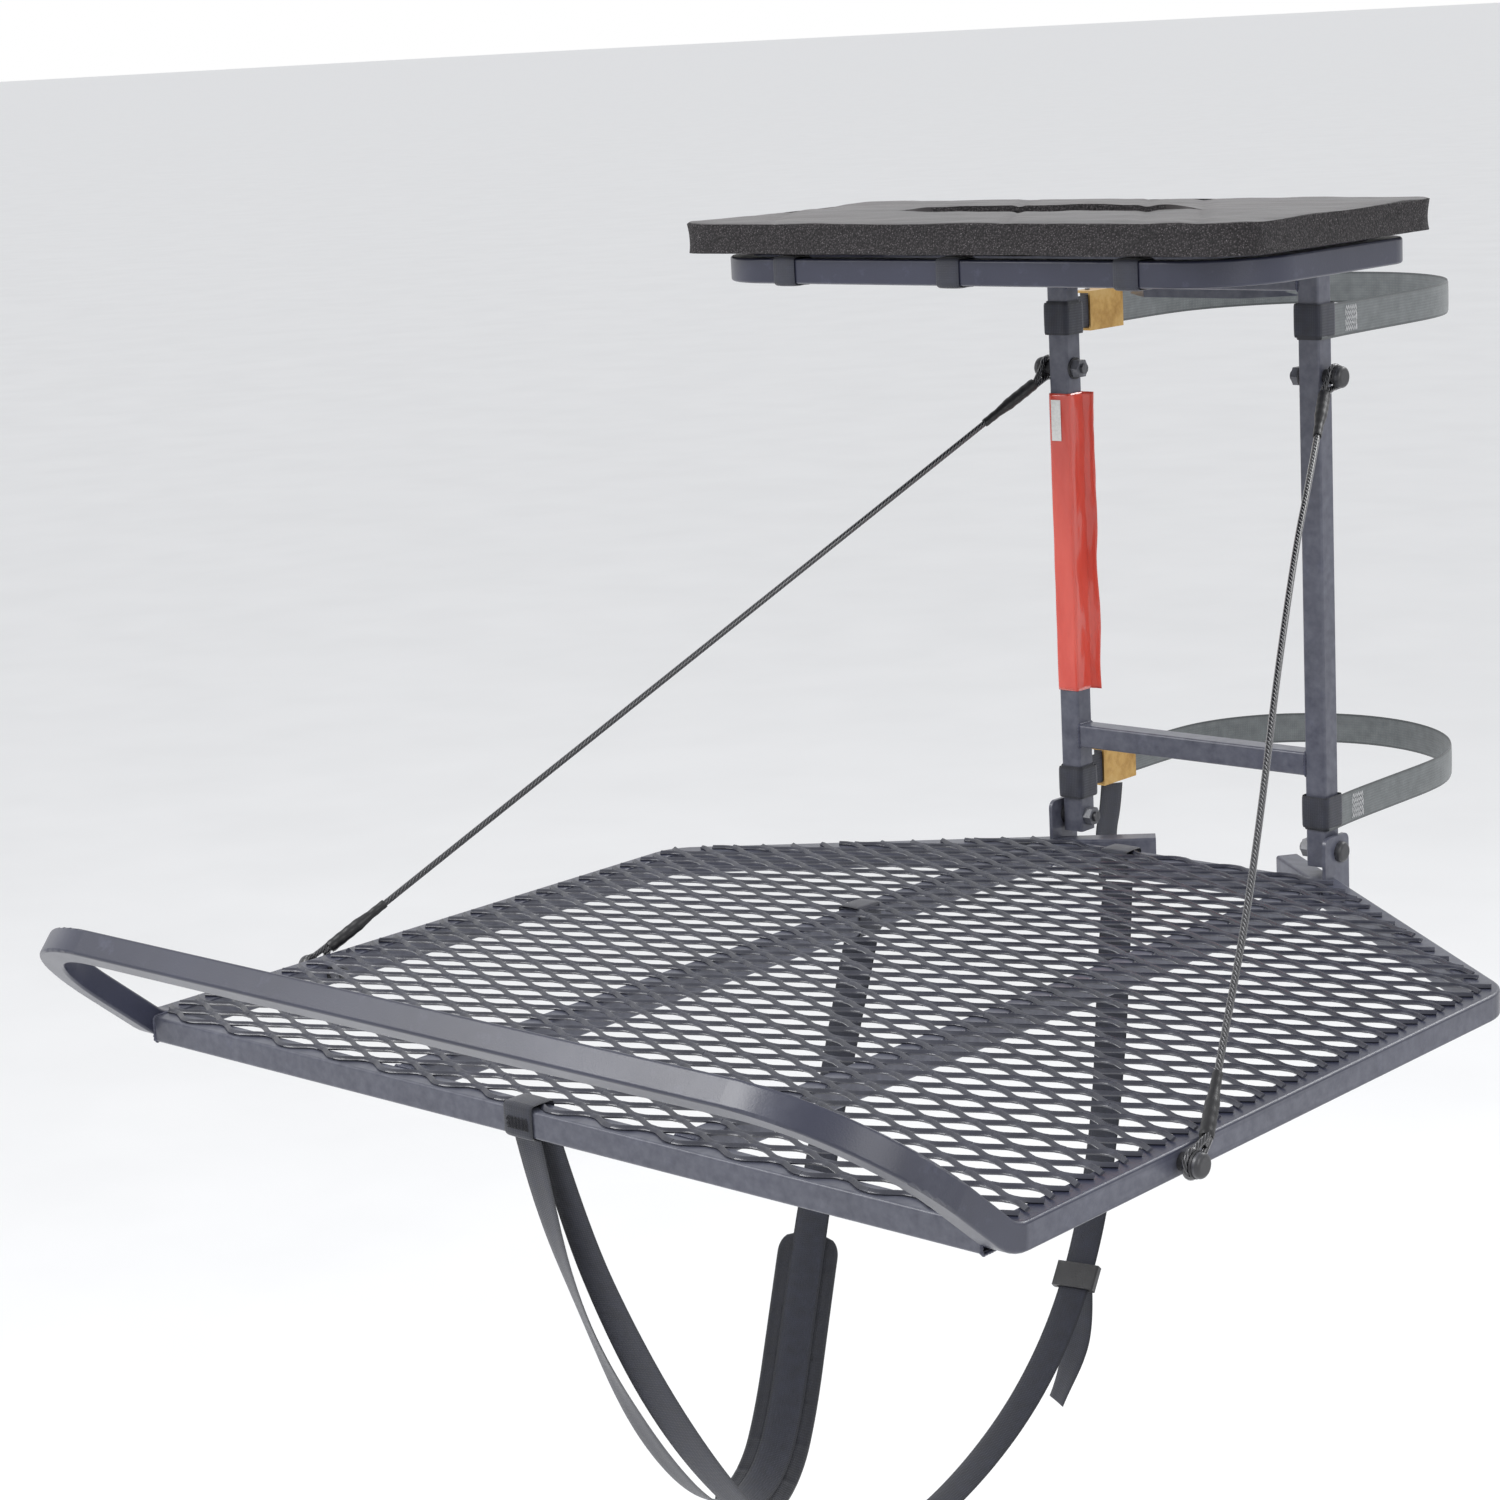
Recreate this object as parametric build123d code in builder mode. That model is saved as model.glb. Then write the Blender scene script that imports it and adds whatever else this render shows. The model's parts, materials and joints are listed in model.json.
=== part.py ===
from build123d import *
import math
import os

# A fixed-position tree stand: a two-post frame strapped to a tree, a folding expanded-metal
# platform held level by two coated cables, and a flip-up padded seat.
# Frame: +X is to the right as seen from in front of the stand, +Y runs towards the tree and
# +Z is up.  The origin lies on the tree's bark line, midway between the platform's two rear
# tips and level with the middle of the platform's tubes.  Millimetres.

# ---- tube stock ----
tube_size = 18.0
tube_wall = 1.5
tube_corner = 2.0
half_tube = tube_size / 2

# ---- tree and posts ----
tree_radius = 122.0
post_spacing = 228.0
post_setback = 38.0
post_foot_gap = 6.0
post_above_seat_axis = 8.0
crossbar_height = 93.5
upper_crossbar_drop = 27.0

# ---- platform ----
platform_width = 762.0
front_tube_y = -769.0
rear_corner_y = -240.0
tip_spacing = 124.0
tip_inset = 7.0
rear_bend_radius = 30.0
strut_spacing = 250.0
rear_tube_y = -64.0
footrest_angle = 40.0
footrest_length = 150.0
footrest_corner_radius = 90.0
footrest_bend_radius = 30.0

# ---- expanded metal deck ----
deck_thickness = 2.0
mesh_long_pitch = 50.8
mesh_short_pitch = 23.4
mesh_strand = 3.4
deck_edge_inset = 2.0
deck_ear_clearance = 1.5
deck_bend_clearance = 3.0

# ---- platform hinge ----
hinge_height = 27.0
ear_gap = 3.0
ear_thickness = 3.0
ear_front = 20.0
ear_back = 12.5
ear_rise = 13.0
ear_corner = 6.0

# ---- seat ----
seat_frame_width = 477.0
seat_front_y = -321.0
seat_rear_y = -100.0
seat_axis_height = 484.0
seat_front_radius = 56.0
seat_rear_radius = 20.0
arm_thickness = 4.0
arm_gap = 2.0
arm_end_radius = 13.0
stop_thickness = 3.0
stop_top = 9.5
stop_height = 5.0
stop_clearance = 0.3
sling_thickness = 1.6
sling_overlap = 15.0
pad_width = 500.0
pad_depth = 240.0
pad_thickness = 25.0
pad_front_overhang = 7.0
pad_corner = 22.0
pad_gap = 0.6
hand_slot_length = 210.0
hand_slot_width = 14.0

# ---- fasteners (M8) ----
bolt_radius = 3.97
bolt_hole_clearance = 0.18
running_clearance = 0.05
head_radius = 8.0
head_height = 4.8
nut_width = 13.0
nut_height = 6.5
washer_radius = 8.5
washer_thickness = 1.5
face_clearance = 0.1

# ---- support cables ----
cable_radius = 2.4
cable_bolt_y = -612.0
upper_cable_height = 385.0
eye_radius = 8.0
eye_wire_radius = 2.1
eye_room = 5.2
stub_length = 16.0
spacer_radius = 5.5
spacer_length = 5.0
cable_span_share = 0.345
sleeve_length = 52.0
sleeve_radius = 4.6
sleeve_start = 20.0
span_gap = 0.3

# ---- webbing ----
web_width = 25.0
web_thickness = 1.5
upper_strap_height = 425.0
lower_strap_height = 56.0
wrap_clearance = 0.25
buckle_length = 44.0
buckle_start_y = 6.0
buckle_plate = 1.6
buckle_side = 1.6
buckle_height = 31.0
lever_length = 30.0
lever_pivot_offset = 8.0
pin_radius = 2.0

# ---- owner's sleeve on the left post ----
sleeve_bottom = 130.0
sleeve_top = 366.0
vinyl_thickness = 0.8
vinyl_clearance = 0.4
vinyl_flap = 9.0

# ---- shoulder straps ----
shoulder_web_thickness = 2.0
shoulder_pad_width = 46.0
shoulder_pad_thickness = 8.0

# ---- derived places ----
post_y = -post_setback
deck_bottom = half_tube
post_x = post_spacing / 2
post_outer = post_x + half_tube
post_inner = post_x - half_tube
post_foot = half_tube + post_foot_gap
post_top = seat_axis_height + post_above_seat_axis
bolt_hole_radius = bolt_radius + bolt_hole_clearance
side_x = platform_width / 2 - half_tube
strut_x = strut_spacing / 2
upper_crossbar_height = seat_axis_height - upper_crossbar_drop
seat_tube_bottom = seat_axis_height - half_tube
seat_tube_top = seat_axis_height + half_tube
ear_inner = post_outer + ear_gap
arm_inner = post_outer + arm_gap
tree_centre_y = math.sqrt(tree_radius**2 - (tip_spacing / 2) ** 2)
strap_radius = tree_radius + web_thickness / 2
sides = {"left": -1, "right": 1}

os.makedirs("parts", exist_ok=True)


def write_piece(builder, name):
    """Labels a finished piece and writes it as its own STEP file."""
    builder.part.label = name
    export_step(builder.part, f"parts/{name}.step")


def draw_tube_section():
    """The hollow square section, drawn in the sketch that is open."""
    RectangleRounded(tube_size, tube_size, tube_corner)
    RectangleRounded(
        tube_size - 2 * tube_wall,
        tube_size - 2 * tube_wall,
        tube_corner - tube_wall / 2,
        mode=Mode.SUBTRACT,
    )


def draw_solid_section():
    """The same section without its bore, for coping what is welded against a tube."""
    RectangleRounded(tube_size, tube_size, tube_corner)


# ------------------------------------------------------------------ platform tubes
footrest_rise = math.radians(footrest_angle)
footrest_bar_y = front_tube_y - footrest_length * math.cos(footrest_rise)
footrest_bar_z = footrest_length * math.sin(footrest_rise)
tip_x = tip_spacing / 2

perimeter_points = [
    (-tip_x, -tip_inset, 0),
    (-side_x, rear_corner_y, 0),
    (-side_x, front_tube_y, 0),
    (-side_x, footrest_bar_y, footrest_bar_z),
    (side_x, footrest_bar_y, footrest_bar_z),
    (side_x, front_tube_y, 0),
    (side_x, rear_corner_y, 0),
    (tip_x, -tip_inset, 0),
]
perimeter_radii = [
    rear_bend_radius,
    footrest_bend_radius,
    footrest_corner_radius,
    footrest_corner_radius,
    footrest_bend_radius,
    rear_bend_radius,
]

with BuildLine(mode=Mode.PRIVATE) as perimeter_route:
    FilletPolyline(*perimeter_points, radius=perimeter_radii)

perimeter_start = Plane(
    origin=perimeter_route.line @ 0, x_dir=(0, 0, 1), z_dir=perimeter_route.line % 0
)

with BuildPart() as perimeter_blank:
    with BuildLine():
        add(perimeter_route.line)
    with BuildSketch(perimeter_start):
        draw_solid_section()
    sweep()

with BuildPart() as perimeter_tube:
    with BuildLine():
        add(perimeter_route.line)
    with BuildSketch(perimeter_start):
        draw_tube_section()
    sweep()
    for side in sides.values():
        with BuildSketch(Plane.YZ.offset(side * side_x)):
            with Locations((cable_bolt_y, 0)):
                Circle(bolt_hole_radius)
        extrude(amount=tube_size, both=True, mode=Mode.SUBTRACT)
write_piece(perimeter_tube, "platform_perimeter_tube")

with BuildPart() as front_cross_tube:
    with BuildSketch(Plane.YZ.offset(-side_x + half_tube)):
        with Locations((front_tube_y, 0)):
            draw_tube_section()
    extrude(amount=2 * (side_x - half_tube))
write_piece(front_cross_tube, "platform_front_tube")


def taper_x(y):
    """Where the middle of the right-hand tapered tube stands at this Y."""
    share = (-tip_inset - y) / (-tip_inset - rear_corner_y)
    return tip_x + share * (side_x - tip_x)


with BuildPart() as rear_cross_tube:
    rear_half_length = taper_x(rear_tube_y)
    with BuildSketch(Plane.YZ.offset(-rear_half_length)):
        with Locations((rear_tube_y, 0)):
            draw_tube_section()
    extrude(amount=2 * rear_half_length)
    add(perimeter_blank.part, mode=Mode.SUBTRACT)
write_piece(rear_cross_tube, "platform_rear_tube")

for side_name, side in sides.items():
    with BuildPart() as strut:
        with BuildSketch(Plane.XZ.offset(-(front_tube_y + half_tube))):
            with Locations((side * strut_x, 0)):
                draw_tube_section()
        extrude(amount=-(rear_tube_y - front_tube_y - tube_size))
        add(perimeter_blank.part, mode=Mode.SUBTRACT)
    write_piece(strut, f"platform_{side_name}_strut")

# ------------------------------------------------------------------ expanded metal deck
deck_rear_y = post_y - ear_front - deck_ear_clearance
deck_front_y = front_tube_y - half_tube + deck_edge_inset
deck_side = side_x
deck_corner_y = rear_corner_y
deck_rear_x = taper_x(deck_rear_y)
wrap_inner = tube_size + 2 * wrap_clearance
wrap_outer = wrap_inner + 2 * web_thickness

# sewn webbing loops that hold the shoulder straps, each round a tube and the deck above it
loop_inner_height = tube_size + deck_thickness + 2 * wrap_clearance
loop_middle_z = deck_thickness / 2
loop_relief = 0.4
wall_relief = web_thickness + 2.6
wall_offset = (wrap_inner + web_thickness) / 2
rear_loop_x = -55.0
strut_loop_y = -300.0
strap_loops = {
    "front_strap_loop": (Plane.YZ, (front_tube_y, loop_middle_z), 0.0),
    "rear_strap_loop": (Plane.YZ, (rear_tube_y, loop_middle_z), rear_loop_x),
    "strut_strap_loop": (Plane.XZ, (-strut_x, loop_middle_z), -strut_loop_y),
}
cross_loop_walls = [
    (0, front_tube_y + wall_offset),
    (0, front_tube_y - wall_offset),
    (rear_loop_x, rear_tube_y - wall_offset),
]
along_loop_walls = [
    (-strut_x - wall_offset, strut_loop_y),
    (-strut_x + wall_offset, strut_loop_y),
]

deck_bend_y = front_tube_y + half_tube + deck_bend_clearance
deck_bend_x = deck_side - half_tube - deck_bend_clearance
deck_outline = [
    (-deck_bend_x, deck_front_y),
    (deck_bend_x, deck_front_y),
    (deck_bend_x, deck_bend_y),
    (deck_side, deck_bend_y),
    (deck_side, deck_corner_y),
    (deck_rear_x, deck_rear_y),
    (-deck_rear_x, deck_rear_y),
    (-deck_side, deck_corner_y),
    (-deck_side, deck_bend_y),
    (-deck_bend_x, deck_bend_y),
]


def inside_deck(x, y, margin):
    """True where a point lies on the deck, that far in from its edge."""
    if abs(x) > deck_side - margin:
        return False
    if y < deck_front_y + margin or y > deck_rear_y - margin:
        return False
    slope = (deck_rear_y - deck_corner_y) / (deck_side - deck_rear_x)
    edge_y = deck_corner_y + slope * (deck_side - abs(x))
    return y < edge_y - margin * math.hypot(1, slope)


opening_half_x = mesh_long_pitch / 2 - mesh_strand * 1.3
opening_half_y = mesh_short_pitch / 2 - mesh_strand * 0.6
first_row_y = deck_rear_y - mesh_strand * 1.05 - opening_half_y
mesh_columns = int(platform_width / mesh_long_pitch) + 2
mesh_rows = int(-front_tube_y / mesh_short_pitch) + 2
opening_places = []
for column in range(-mesh_columns, mesh_columns + 1):
    for row in range(mesh_rows * 2):
        if (column + row) % 2:
            continue
        x = column * mesh_long_pitch / 2
        y = first_row_y - row * mesh_short_pitch / 2
        tips = [
            (x + opening_half_x, y),
            (x - opening_half_x, y),
            (x, y + opening_half_y),
            (x, y - opening_half_y),
        ]
        if all(inside_deck(tx, ty, mesh_strand) for tx, ty in tips):
            opening_places.append((x, y))

with BuildPart() as deck:
    with BuildSketch(Plane.XY.offset(deck_bottom)):
        Polygon(*deck_outline, align=None)
        with Locations(*opening_places):
            Polygon(
                (opening_half_x, 0),
                (0, opening_half_y),
                (-opening_half_x, 0),
                (0, -opening_half_y),
                align=None,
                mode=Mode.SUBTRACT,
            )
        with Locations(*cross_loop_walls):
            Rectangle(web_width + 2 * loop_relief, wall_relief, mode=Mode.SUBTRACT)
        with Locations(*along_loop_walls):
            Rectangle(wall_relief, web_width + 2 * loop_relief, mode=Mode.SUBTRACT)
    extrude(amount=deck_thickness)
write_piece(deck, "deck_mesh")

# ------------------------------------------------------------------ platform hinge ears
for side_name, side in sides.items():
    ear_plane = Plane.YZ.offset(side * (ear_inner + ear_thickness / 2))
    with BuildPart() as ear:
        with BuildSketch(ear_plane) as ear_face:
            with BuildLine():
                Polyline(
                    (post_y - ear_front, -half_tube),
                    (post_y + ear_back, -half_tube),
                    (post_y + ear_back, hinge_height + ear_rise),
                    (post_y - ear_front, hinge_height + ear_rise),
                    close=True,
                )
            make_face()
            fillet(ear_face.vertices().group_by(Axis.Y)[-1], ear_corner)
            with Locations((post_y, hinge_height)):
                Circle(bolt_radius + running_clearance, mode=Mode.SUBTRACT)
        extrude(amount=ear_thickness / 2, both=True)
        add(perimeter_blank.part, mode=Mode.SUBTRACT)
    write_piece(ear, f"{side_name}_hinge_ear")

# ------------------------------------------------------------------ post frame
through_heights = [hinge_height, upper_cable_height, seat_axis_height]
for side_name, side in sides.items():
    with BuildPart() as post:
        with BuildSketch(Plane.XY.offset(post_foot)):
            with Locations((side * post_x, post_y)):
                draw_tube_section()
        extrude(amount=post_top - post_foot)
        with BuildSketch(Plane.YZ.offset(side * post_x)):
            with Locations(*[(post_y, height) for height in through_heights]):
                Circle(bolt_hole_radius)
        extrude(amount=tube_size, both=True, mode=Mode.SUBTRACT)
    write_piece(post, f"{side_name}_post")

for bar_name, bar_height in {
    "lower_crossbar": crossbar_height,
    "upper_crossbar": upper_crossbar_height,
}.items():
    with BuildPart() as crossbar:
        with BuildSketch(Plane.YZ.offset(-post_inner)):
            with Locations((post_y, bar_height)):
                draw_tube_section()
        extrude(amount=2 * post_inner)
    write_piece(crossbar, bar_name)

plug_clearance = 0.05
plug_size = tube_size - 2 * tube_wall - 2 * plug_clearance
plug_depth = 3.5
plug_cap = 2.0
plug_rim = 1.5
with BuildPart() as post_plugs:
    for end_height, inward in ((post_top, -1), (post_foot, 1)):
        for side in sides.values():
            with BuildSketch(Plane.XY.offset(end_height)):
                with Locations((side * post_x, post_y)):
                    RectangleRounded(plug_size, plug_size, tube_corner)
                    Rectangle(
                        plug_size - 2 * plug_rim, plug_size - 2 * plug_rim, mode=Mode.SUBTRACT
                    )
            extrude(amount=inward * plug_depth)
            with BuildSketch(Plane.XY.offset(end_height)):
                with Locations((side * post_x, post_y)):
                    RectangleRounded(plug_size, plug_size, tube_corner)
            extrude(amount=inward * plug_cap)
write_piece(post_plugs, "post_end_plugs")

# The upper tree bracket: a bent plate whose two toothed wings reach back to the bark.
bracket_height = 34.0
bracket_plate = 3.0
bracket_flat = 44.0
bracket_wing_x = tip_x + 14.0
tooth_count = 5
bracket_front_y = post_y + half_tube
bark_gap = 1.0
with BuildPart() as tree_bracket:
    with BuildSketch(Plane.XY.offset(upper_crossbar_height - bracket_height / 2)) as bracket_plan:
        with BuildLine():
            Polyline(
                (-bracket_wing_x, -bark_gap),
                (-bracket_flat, bracket_front_y),
                (bracket_flat, bracket_front_y),
                (bracket_wing_x, -bark_gap),
                (bracket_wing_x - bracket_plate * 1.3, -bark_gap),
                (bracket_flat - bracket_plate * 0.6, bracket_front_y + bracket_plate),
                (-bracket_flat + bracket_plate * 0.6, bracket_front_y + bracket_plate),
                (-bracket_wing_x + bracket_plate * 1.3, -bark_gap),
                close=True,
            )
        make_face()
    extrude(amount=bracket_height)
    tooth_pitch = bracket_height / tooth_count
    tooth_base = upper_crossbar_height - bracket_height / 2
    with BuildSketch(Plane.YZ.offset(-bracket_wing_x - 1)):
        for tooth in range(tooth_count):
            with BuildLine():
                Polyline(
                    (1, tooth_base + tooth * tooth_pitch),
                    (-7, tooth_base + (tooth + 0.5) * tooth_pitch),
                    (1, tooth_base + (tooth + 1) * tooth_pitch),
                    close=True,
                )
            make_face()
    extrude(amount=2 * bracket_wing_x + 2, mode=Mode.SUBTRACT)
write_piece(tree_bracket, "upper_tree_bracket")


# ------------------------------------------------------------------ bolts, nuts and washers
def draw_disc(outer, inner=0.0, at=(0, 0)):
    """A disc or ring in the sketch that is open."""
    with Locations(at):
        Circle(outer)
        if inner:
            Circle(inner, mode=Mode.SUBTRACT)


def write_bolts(name, at, head_x, tip_bolt_x):
    """Two domed-head bolts along X, one each side: under-head face at head_x, end at tip_bolt_x."""
    with BuildPart() as bolts:
        for side in sides.values():
            with BuildSketch(Plane.YZ.offset(side * head_x)):
                draw_disc(head_radius, at=at)
            extrude(amount=side * head_height)
            outer_face = bolts.faces().sort_by(Axis.X)[-1 if side > 0 else 0]
            fillet(outer_face.edges(), head_height * 0.62)
            with BuildSketch(Plane.YZ.offset(side * head_x)):
                draw_disc(bolt_radius, at=at)
            extrude(amount=-side * (head_x - tip_bolt_x))
    write_piece(bolts, name)


def write_nuts(name, seats):
    """Hexagon nuts, a pair for each seat: where its bolt is and the face it stands in from."""
    with BuildPart() as nuts:
        for at, face_x in seats:
            for side in sides.values():
                with BuildSketch(Plane.YZ.offset(side * face_x)):
                    with Locations(at):
                        RegularPolygon(nut_width / 2, 6, major_radius=False)
                        Circle(bolt_radius, mode=Mode.SUBTRACT)
                extrude(amount=-side * nut_height)
    write_piece(nuts, name)


def write_rings(name, rings, at):
    """Plain rings on both sides; each is (start_x, length, outer radius, bore radius)."""
    with BuildPart() as ring_set:
        for side in sides.values():
            for start_x, length, outer, bore in rings:
                with BuildSketch(Plane.YZ.offset(side * start_x)):
                    draw_disc(outer, bore, at=at)
                extrude(amount=side * length)
    write_piece(ring_set, name)


hinge_at = (post_y, hinge_height)
seat_hinge_at = (post_y, seat_axis_height)
upper_cable_at = (post_y, upper_cable_height)
lower_cable_at = (cable_bolt_y, 0)
bolt_tail = 2.5
hinge_head_x = ear_inner + ear_thickness + face_clearance
seat_head_x = arm_inner + arm_thickness + face_clearance
hinge_tip_x = post_inner - nut_height - bolt_tail
write_bolts("platform_hinge_bolts", hinge_at, hinge_head_x, hinge_tip_x)
write_rings(
    "platform_hinge_washers",
    [(post_outer, ear_gap - face_clearance, washer_radius, bolt_radius + running_clearance)],
    hinge_at,
)
write_bolts("seat_hinge_bolts", seat_hinge_at, seat_head_x, hinge_tip_x)
write_rings(
    "seat_hinge_washers",
    [(post_outer, arm_gap - face_clearance, washer_radius, bolt_radius + running_clearance)],
    seat_hinge_at,
)

cable_bolt_sets = {
    "upper": (upper_cable_at, post_outer, post_inner),
    "lower": (lower_cable_at, side_x + half_tube, side_x - half_tube),
}
for level, (bolt_at, outer_face_x, inner_face_x) in cable_bolt_sets.items():
    washer_x = outer_face_x + spacer_length + eye_room
    cable_head_x = washer_x + washer_thickness
    nut_face_x = inner_face_x - washer_thickness
    write_bolts(
        f"{level}_cable_bolts", bolt_at, cable_head_x, nut_face_x - nut_height - bolt_tail
    )
    write_rings(
        f"{level}_cable_washers",
        [
            (outer_face_x, spacer_length, spacer_radius, bolt_radius),
            (washer_x, washer_thickness, washer_radius, bolt_radius),
            (nut_face_x, washer_thickness, washer_radius, bolt_radius),
        ],
        bolt_at,
    )
write_nuts(
    "post_frame_nuts",
    [
        (hinge_at, post_inner),
        (seat_hinge_at, post_inner),
        (upper_cable_at, post_inner - washer_thickness),
    ],
)
write_nuts("lower_cable_nuts", [(lower_cable_at, side_x - half_tube - washer_thickness)])

# ------------------------------------------------------------------ support cables
eye_offset = spacer_length + eye_room / 2
upper_eye = Vector(post_outer + eye_offset, post_y, upper_cable_height)
lower_eye = Vector(side_x + half_tube + eye_offset, cable_bolt_y, 0)

# Where each cable runs between its two eyes: the share of the way down, and how far its
# points stand off the straight line in Y.  The left cable is taut.  The right one is a
# little slack and bows forwards at the top and back near the platform.  Each is drawn in two
# spans that meet in the middle of a straight stretch.
cable_shapes = {
    "left": ([], []),
    "right": (
        [(0.16, -9.0), (0.25, -11.0)],
        [(0.44, -4.5), (0.55, 2.5), (0.65, 7.5), (0.75, 11.0), (0.85, 10.0)],
    ),
}


def cable_points(side, shapes):
    """The two spans' routes: upper eye to the split, and the split to the lower eye."""
    start = Vector(side * upper_eye.X, upper_eye.Y, upper_eye.Z)
    end = Vector(side * lower_eye.X, lower_eye.Y, lower_eye.Z)
    along = end - start
    in_plane = Vector(0, along.Y, along.Z).normalized()
    leave = eye_radius - cable_radius / 2
    upper_route = [start + in_plane * leave, start + in_plane * stub_length]
    lower_route = [end - in_plane * stub_length, end - in_plane * leave]
    upper_route += [start + along * share + Vector(0, sway, 0) for share, sway in shapes[0]]
    sways = [start + along * share + Vector(0, sway, 0) for share, sway in shapes[1]]
    lower_route = sways + lower_route
    if sways:
        split = (upper_route[-1] + lower_route[0]) * 0.5
    else:
        split = upper_route[-1] + (lower_route[0] - upper_route[-1]) * cable_span_share
    apart = (lower_route[0] - upper_route[-1]).normalized() * (span_gap / 2)
    return upper_route + [split - apart], [split + apart] + lower_route, split


def corner_radii(points):
    """The largest tidy arc for each inner point of a route."""
    radii = []
    for before, corner, after in zip(points, points[1:], points[2:]):
        arriving = corner - before
        leaving = after - corner
        turn = math.radians(arriving.get_angle(leaving))
        shorter = min(arriving.length, leaving.length)
        radii.append(0.45 * shorter / math.tan(turn / 2))
    return radii


def write_cable_span(name, points, eye_centre):
    """One span of a cable, with the eye at the end that goes round a bolt."""
    with BuildPart() as span:
        with BuildLine() as span_route:
            if len(points) > 2:
                FilletPolyline(*points, radius=corner_radii(points))
            else:
                Line(*points)
        with BuildSketch(Plane(origin=points[0], z_dir=span_route.line % 0)):
            Circle(cable_radius)
        sweep()
        route_length = sum(edge.length for edge in span_route.edges())
        section_volume = math.pi * cable_radius**2 * route_length
        print(
            f"{name}: length {route_length:.1f} mm,",
            f"volume {span.part.volume:.0f} against {section_volume:.0f} mm3,",
            f"radii {[round(r) for r in corner_radii(points)]}",
        )
        with Locations(Location(eye_centre, (0, 90, 0))):
            Torus(eye_radius, eye_wire_radius)
    write_piece(span, name)


def write_sleeve(name, stub_end, towards):
    """The shrink sleeve over the crimp, on the first straight stretch beyond the eye's stub."""
    direction = (towards - stub_end).normalized()
    sleeve_from = stub_end + direction * (sleeve_start - stub_length)
    with BuildPart() as sleeve:
        with BuildSketch(Plane(origin=sleeve_from, z_dir=direction)):
            Circle(sleeve_radius)
            Circle(cable_radius + running_clearance, mode=Mode.SUBTRACT)
        extrude(amount=sleeve_length)
    write_piece(sleeve, name)


for side_name, side in sides.items():
    upper_points, lower_points, split_point = cable_points(side, cable_shapes[side_name])
    print(f"{side_name} cable splits at {split_point}")
    eye_up = Vector(side * upper_eye.X, upper_eye.Y, upper_eye.Z)
    eye_down = Vector(side * lower_eye.X, lower_eye.Y, lower_eye.Z)
    write_cable_span(f"{side_name}_cable_upper_span", upper_points, eye_up)
    write_cable_span(f"{side_name}_cable_lower_span", lower_points, eye_down)
    write_sleeve(f"{side_name}_cable_upper_sleeve", upper_points[1], upper_points[2])
    write_sleeve(f"{side_name}_cable_lower_sleeve", lower_points[-2], lower_points[-3])

# ------------------------------------------------------------------ seat
seat_half_x = seat_frame_width / 2 - half_tube
seat_front = seat_front_y + half_tube
seat_rear = seat_rear_y - half_tube

with BuildPart() as seat_frame:
    with BuildLine() as seat_route:
        FilletPolyline(
            (0, seat_rear, seat_axis_height),
            (seat_half_x, seat_rear, seat_axis_height),
            (seat_half_x, seat_front, seat_axis_height),
            (-seat_half_x, seat_front, seat_axis_height),
            (-seat_half_x, seat_rear, seat_axis_height),
            (-0.001, seat_rear, seat_axis_height),
            radius=[seat_rear_radius, seat_front_radius, seat_front_radius, seat_rear_radius],
        )
    seat_start = Plane(origin=seat_route.line @ 0, x_dir=(0, 0, 1), z_dir=(1, 0, 0))
    with BuildSketch(seat_start):
        draw_tube_section()
    sweep()
write_piece(seat_frame, "seat_frame")

arm_bottom = seat_axis_height - stop_top - stop_height
for side_name, side in sides.items():
    with BuildPart() as arm:
        with BuildSketch(Plane.YZ.offset(side * (arm_inner + arm_thickness / 2))) as arm_face:
            with BuildLine():
                Polyline(
                    (seat_rear_y, seat_tube_bottom),
                    (post_y - half_tube - stop_thickness - 8, arm_bottom),
                    (post_y + half_tube, arm_bottom),
                    (post_y + arm_end_radius, seat_axis_height - 8),
                    (post_y + arm_end_radius, seat_tube_top),
                    (seat_rear_y, seat_tube_top),
                    close=True,
                )
            make_face()
            fillet(arm_face.vertices().group_by(Axis.X)[-1], 4)
            with Locations(seat_hinge_at):
                Circle(bolt_radius + running_clearance, mode=Mode.SUBTRACT)
        extrude(amount=arm_thickness / 2, both=True)
        stop_face_y = post_y - half_tube - stop_clearance - stop_thickness / 2
        with BuildSketch(Plane.XY.offset(arm_bottom)):
            with Locations((side * (arm_inner - half_tube), stop_face_y)):
                Rectangle(tube_size, stop_thickness)
        extrude(amount=stop_height)
    write_piece(arm, f"seat_{side_name}_arm")

pad_middle_y = seat_front_y - pad_front_overhang + pad_depth / 2
pad_bottom = seat_tube_top + sling_thickness + 2 * pad_gap
sling_front_y = seat_front + wrap_outer / 2 + 2 * pad_gap
sling_rear_y = seat_rear_y - 1.5
with BuildPart() as seat_sling:
    with BuildSketch(Plane.XY.offset(seat_tube_top + pad_gap / 2)):
        with Locations((0, (sling_front_y + sling_rear_y) / 2)):
            RectangleRounded(
                seat_frame_width - 2 * tube_size - 2 * sling_overlap,
                sling_rear_y - sling_front_y,
                3.0,
            )
    extrude(amount=sling_thickness)
write_piece(seat_sling, "seat_sling")

with BuildPart() as seat_pad:
    with BuildSketch(Plane.XY.offset(pad_bottom)):
        with Locations((0, pad_middle_y)):
            RectangleRounded(pad_width, pad_depth, pad_corner)
            SlotOverall(hand_slot_length, hand_slot_width, mode=Mode.SUBTRACT)
    extrude(amount=pad_thickness)
write_piece(seat_pad, "seat_pad")


# ------------------------------------------------------------------ tree straps and buckles
run_x = strap_radius
grey_end_y = buckle_start_y + 10.0
black_end_y = buckle_start_y + 6.0

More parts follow.
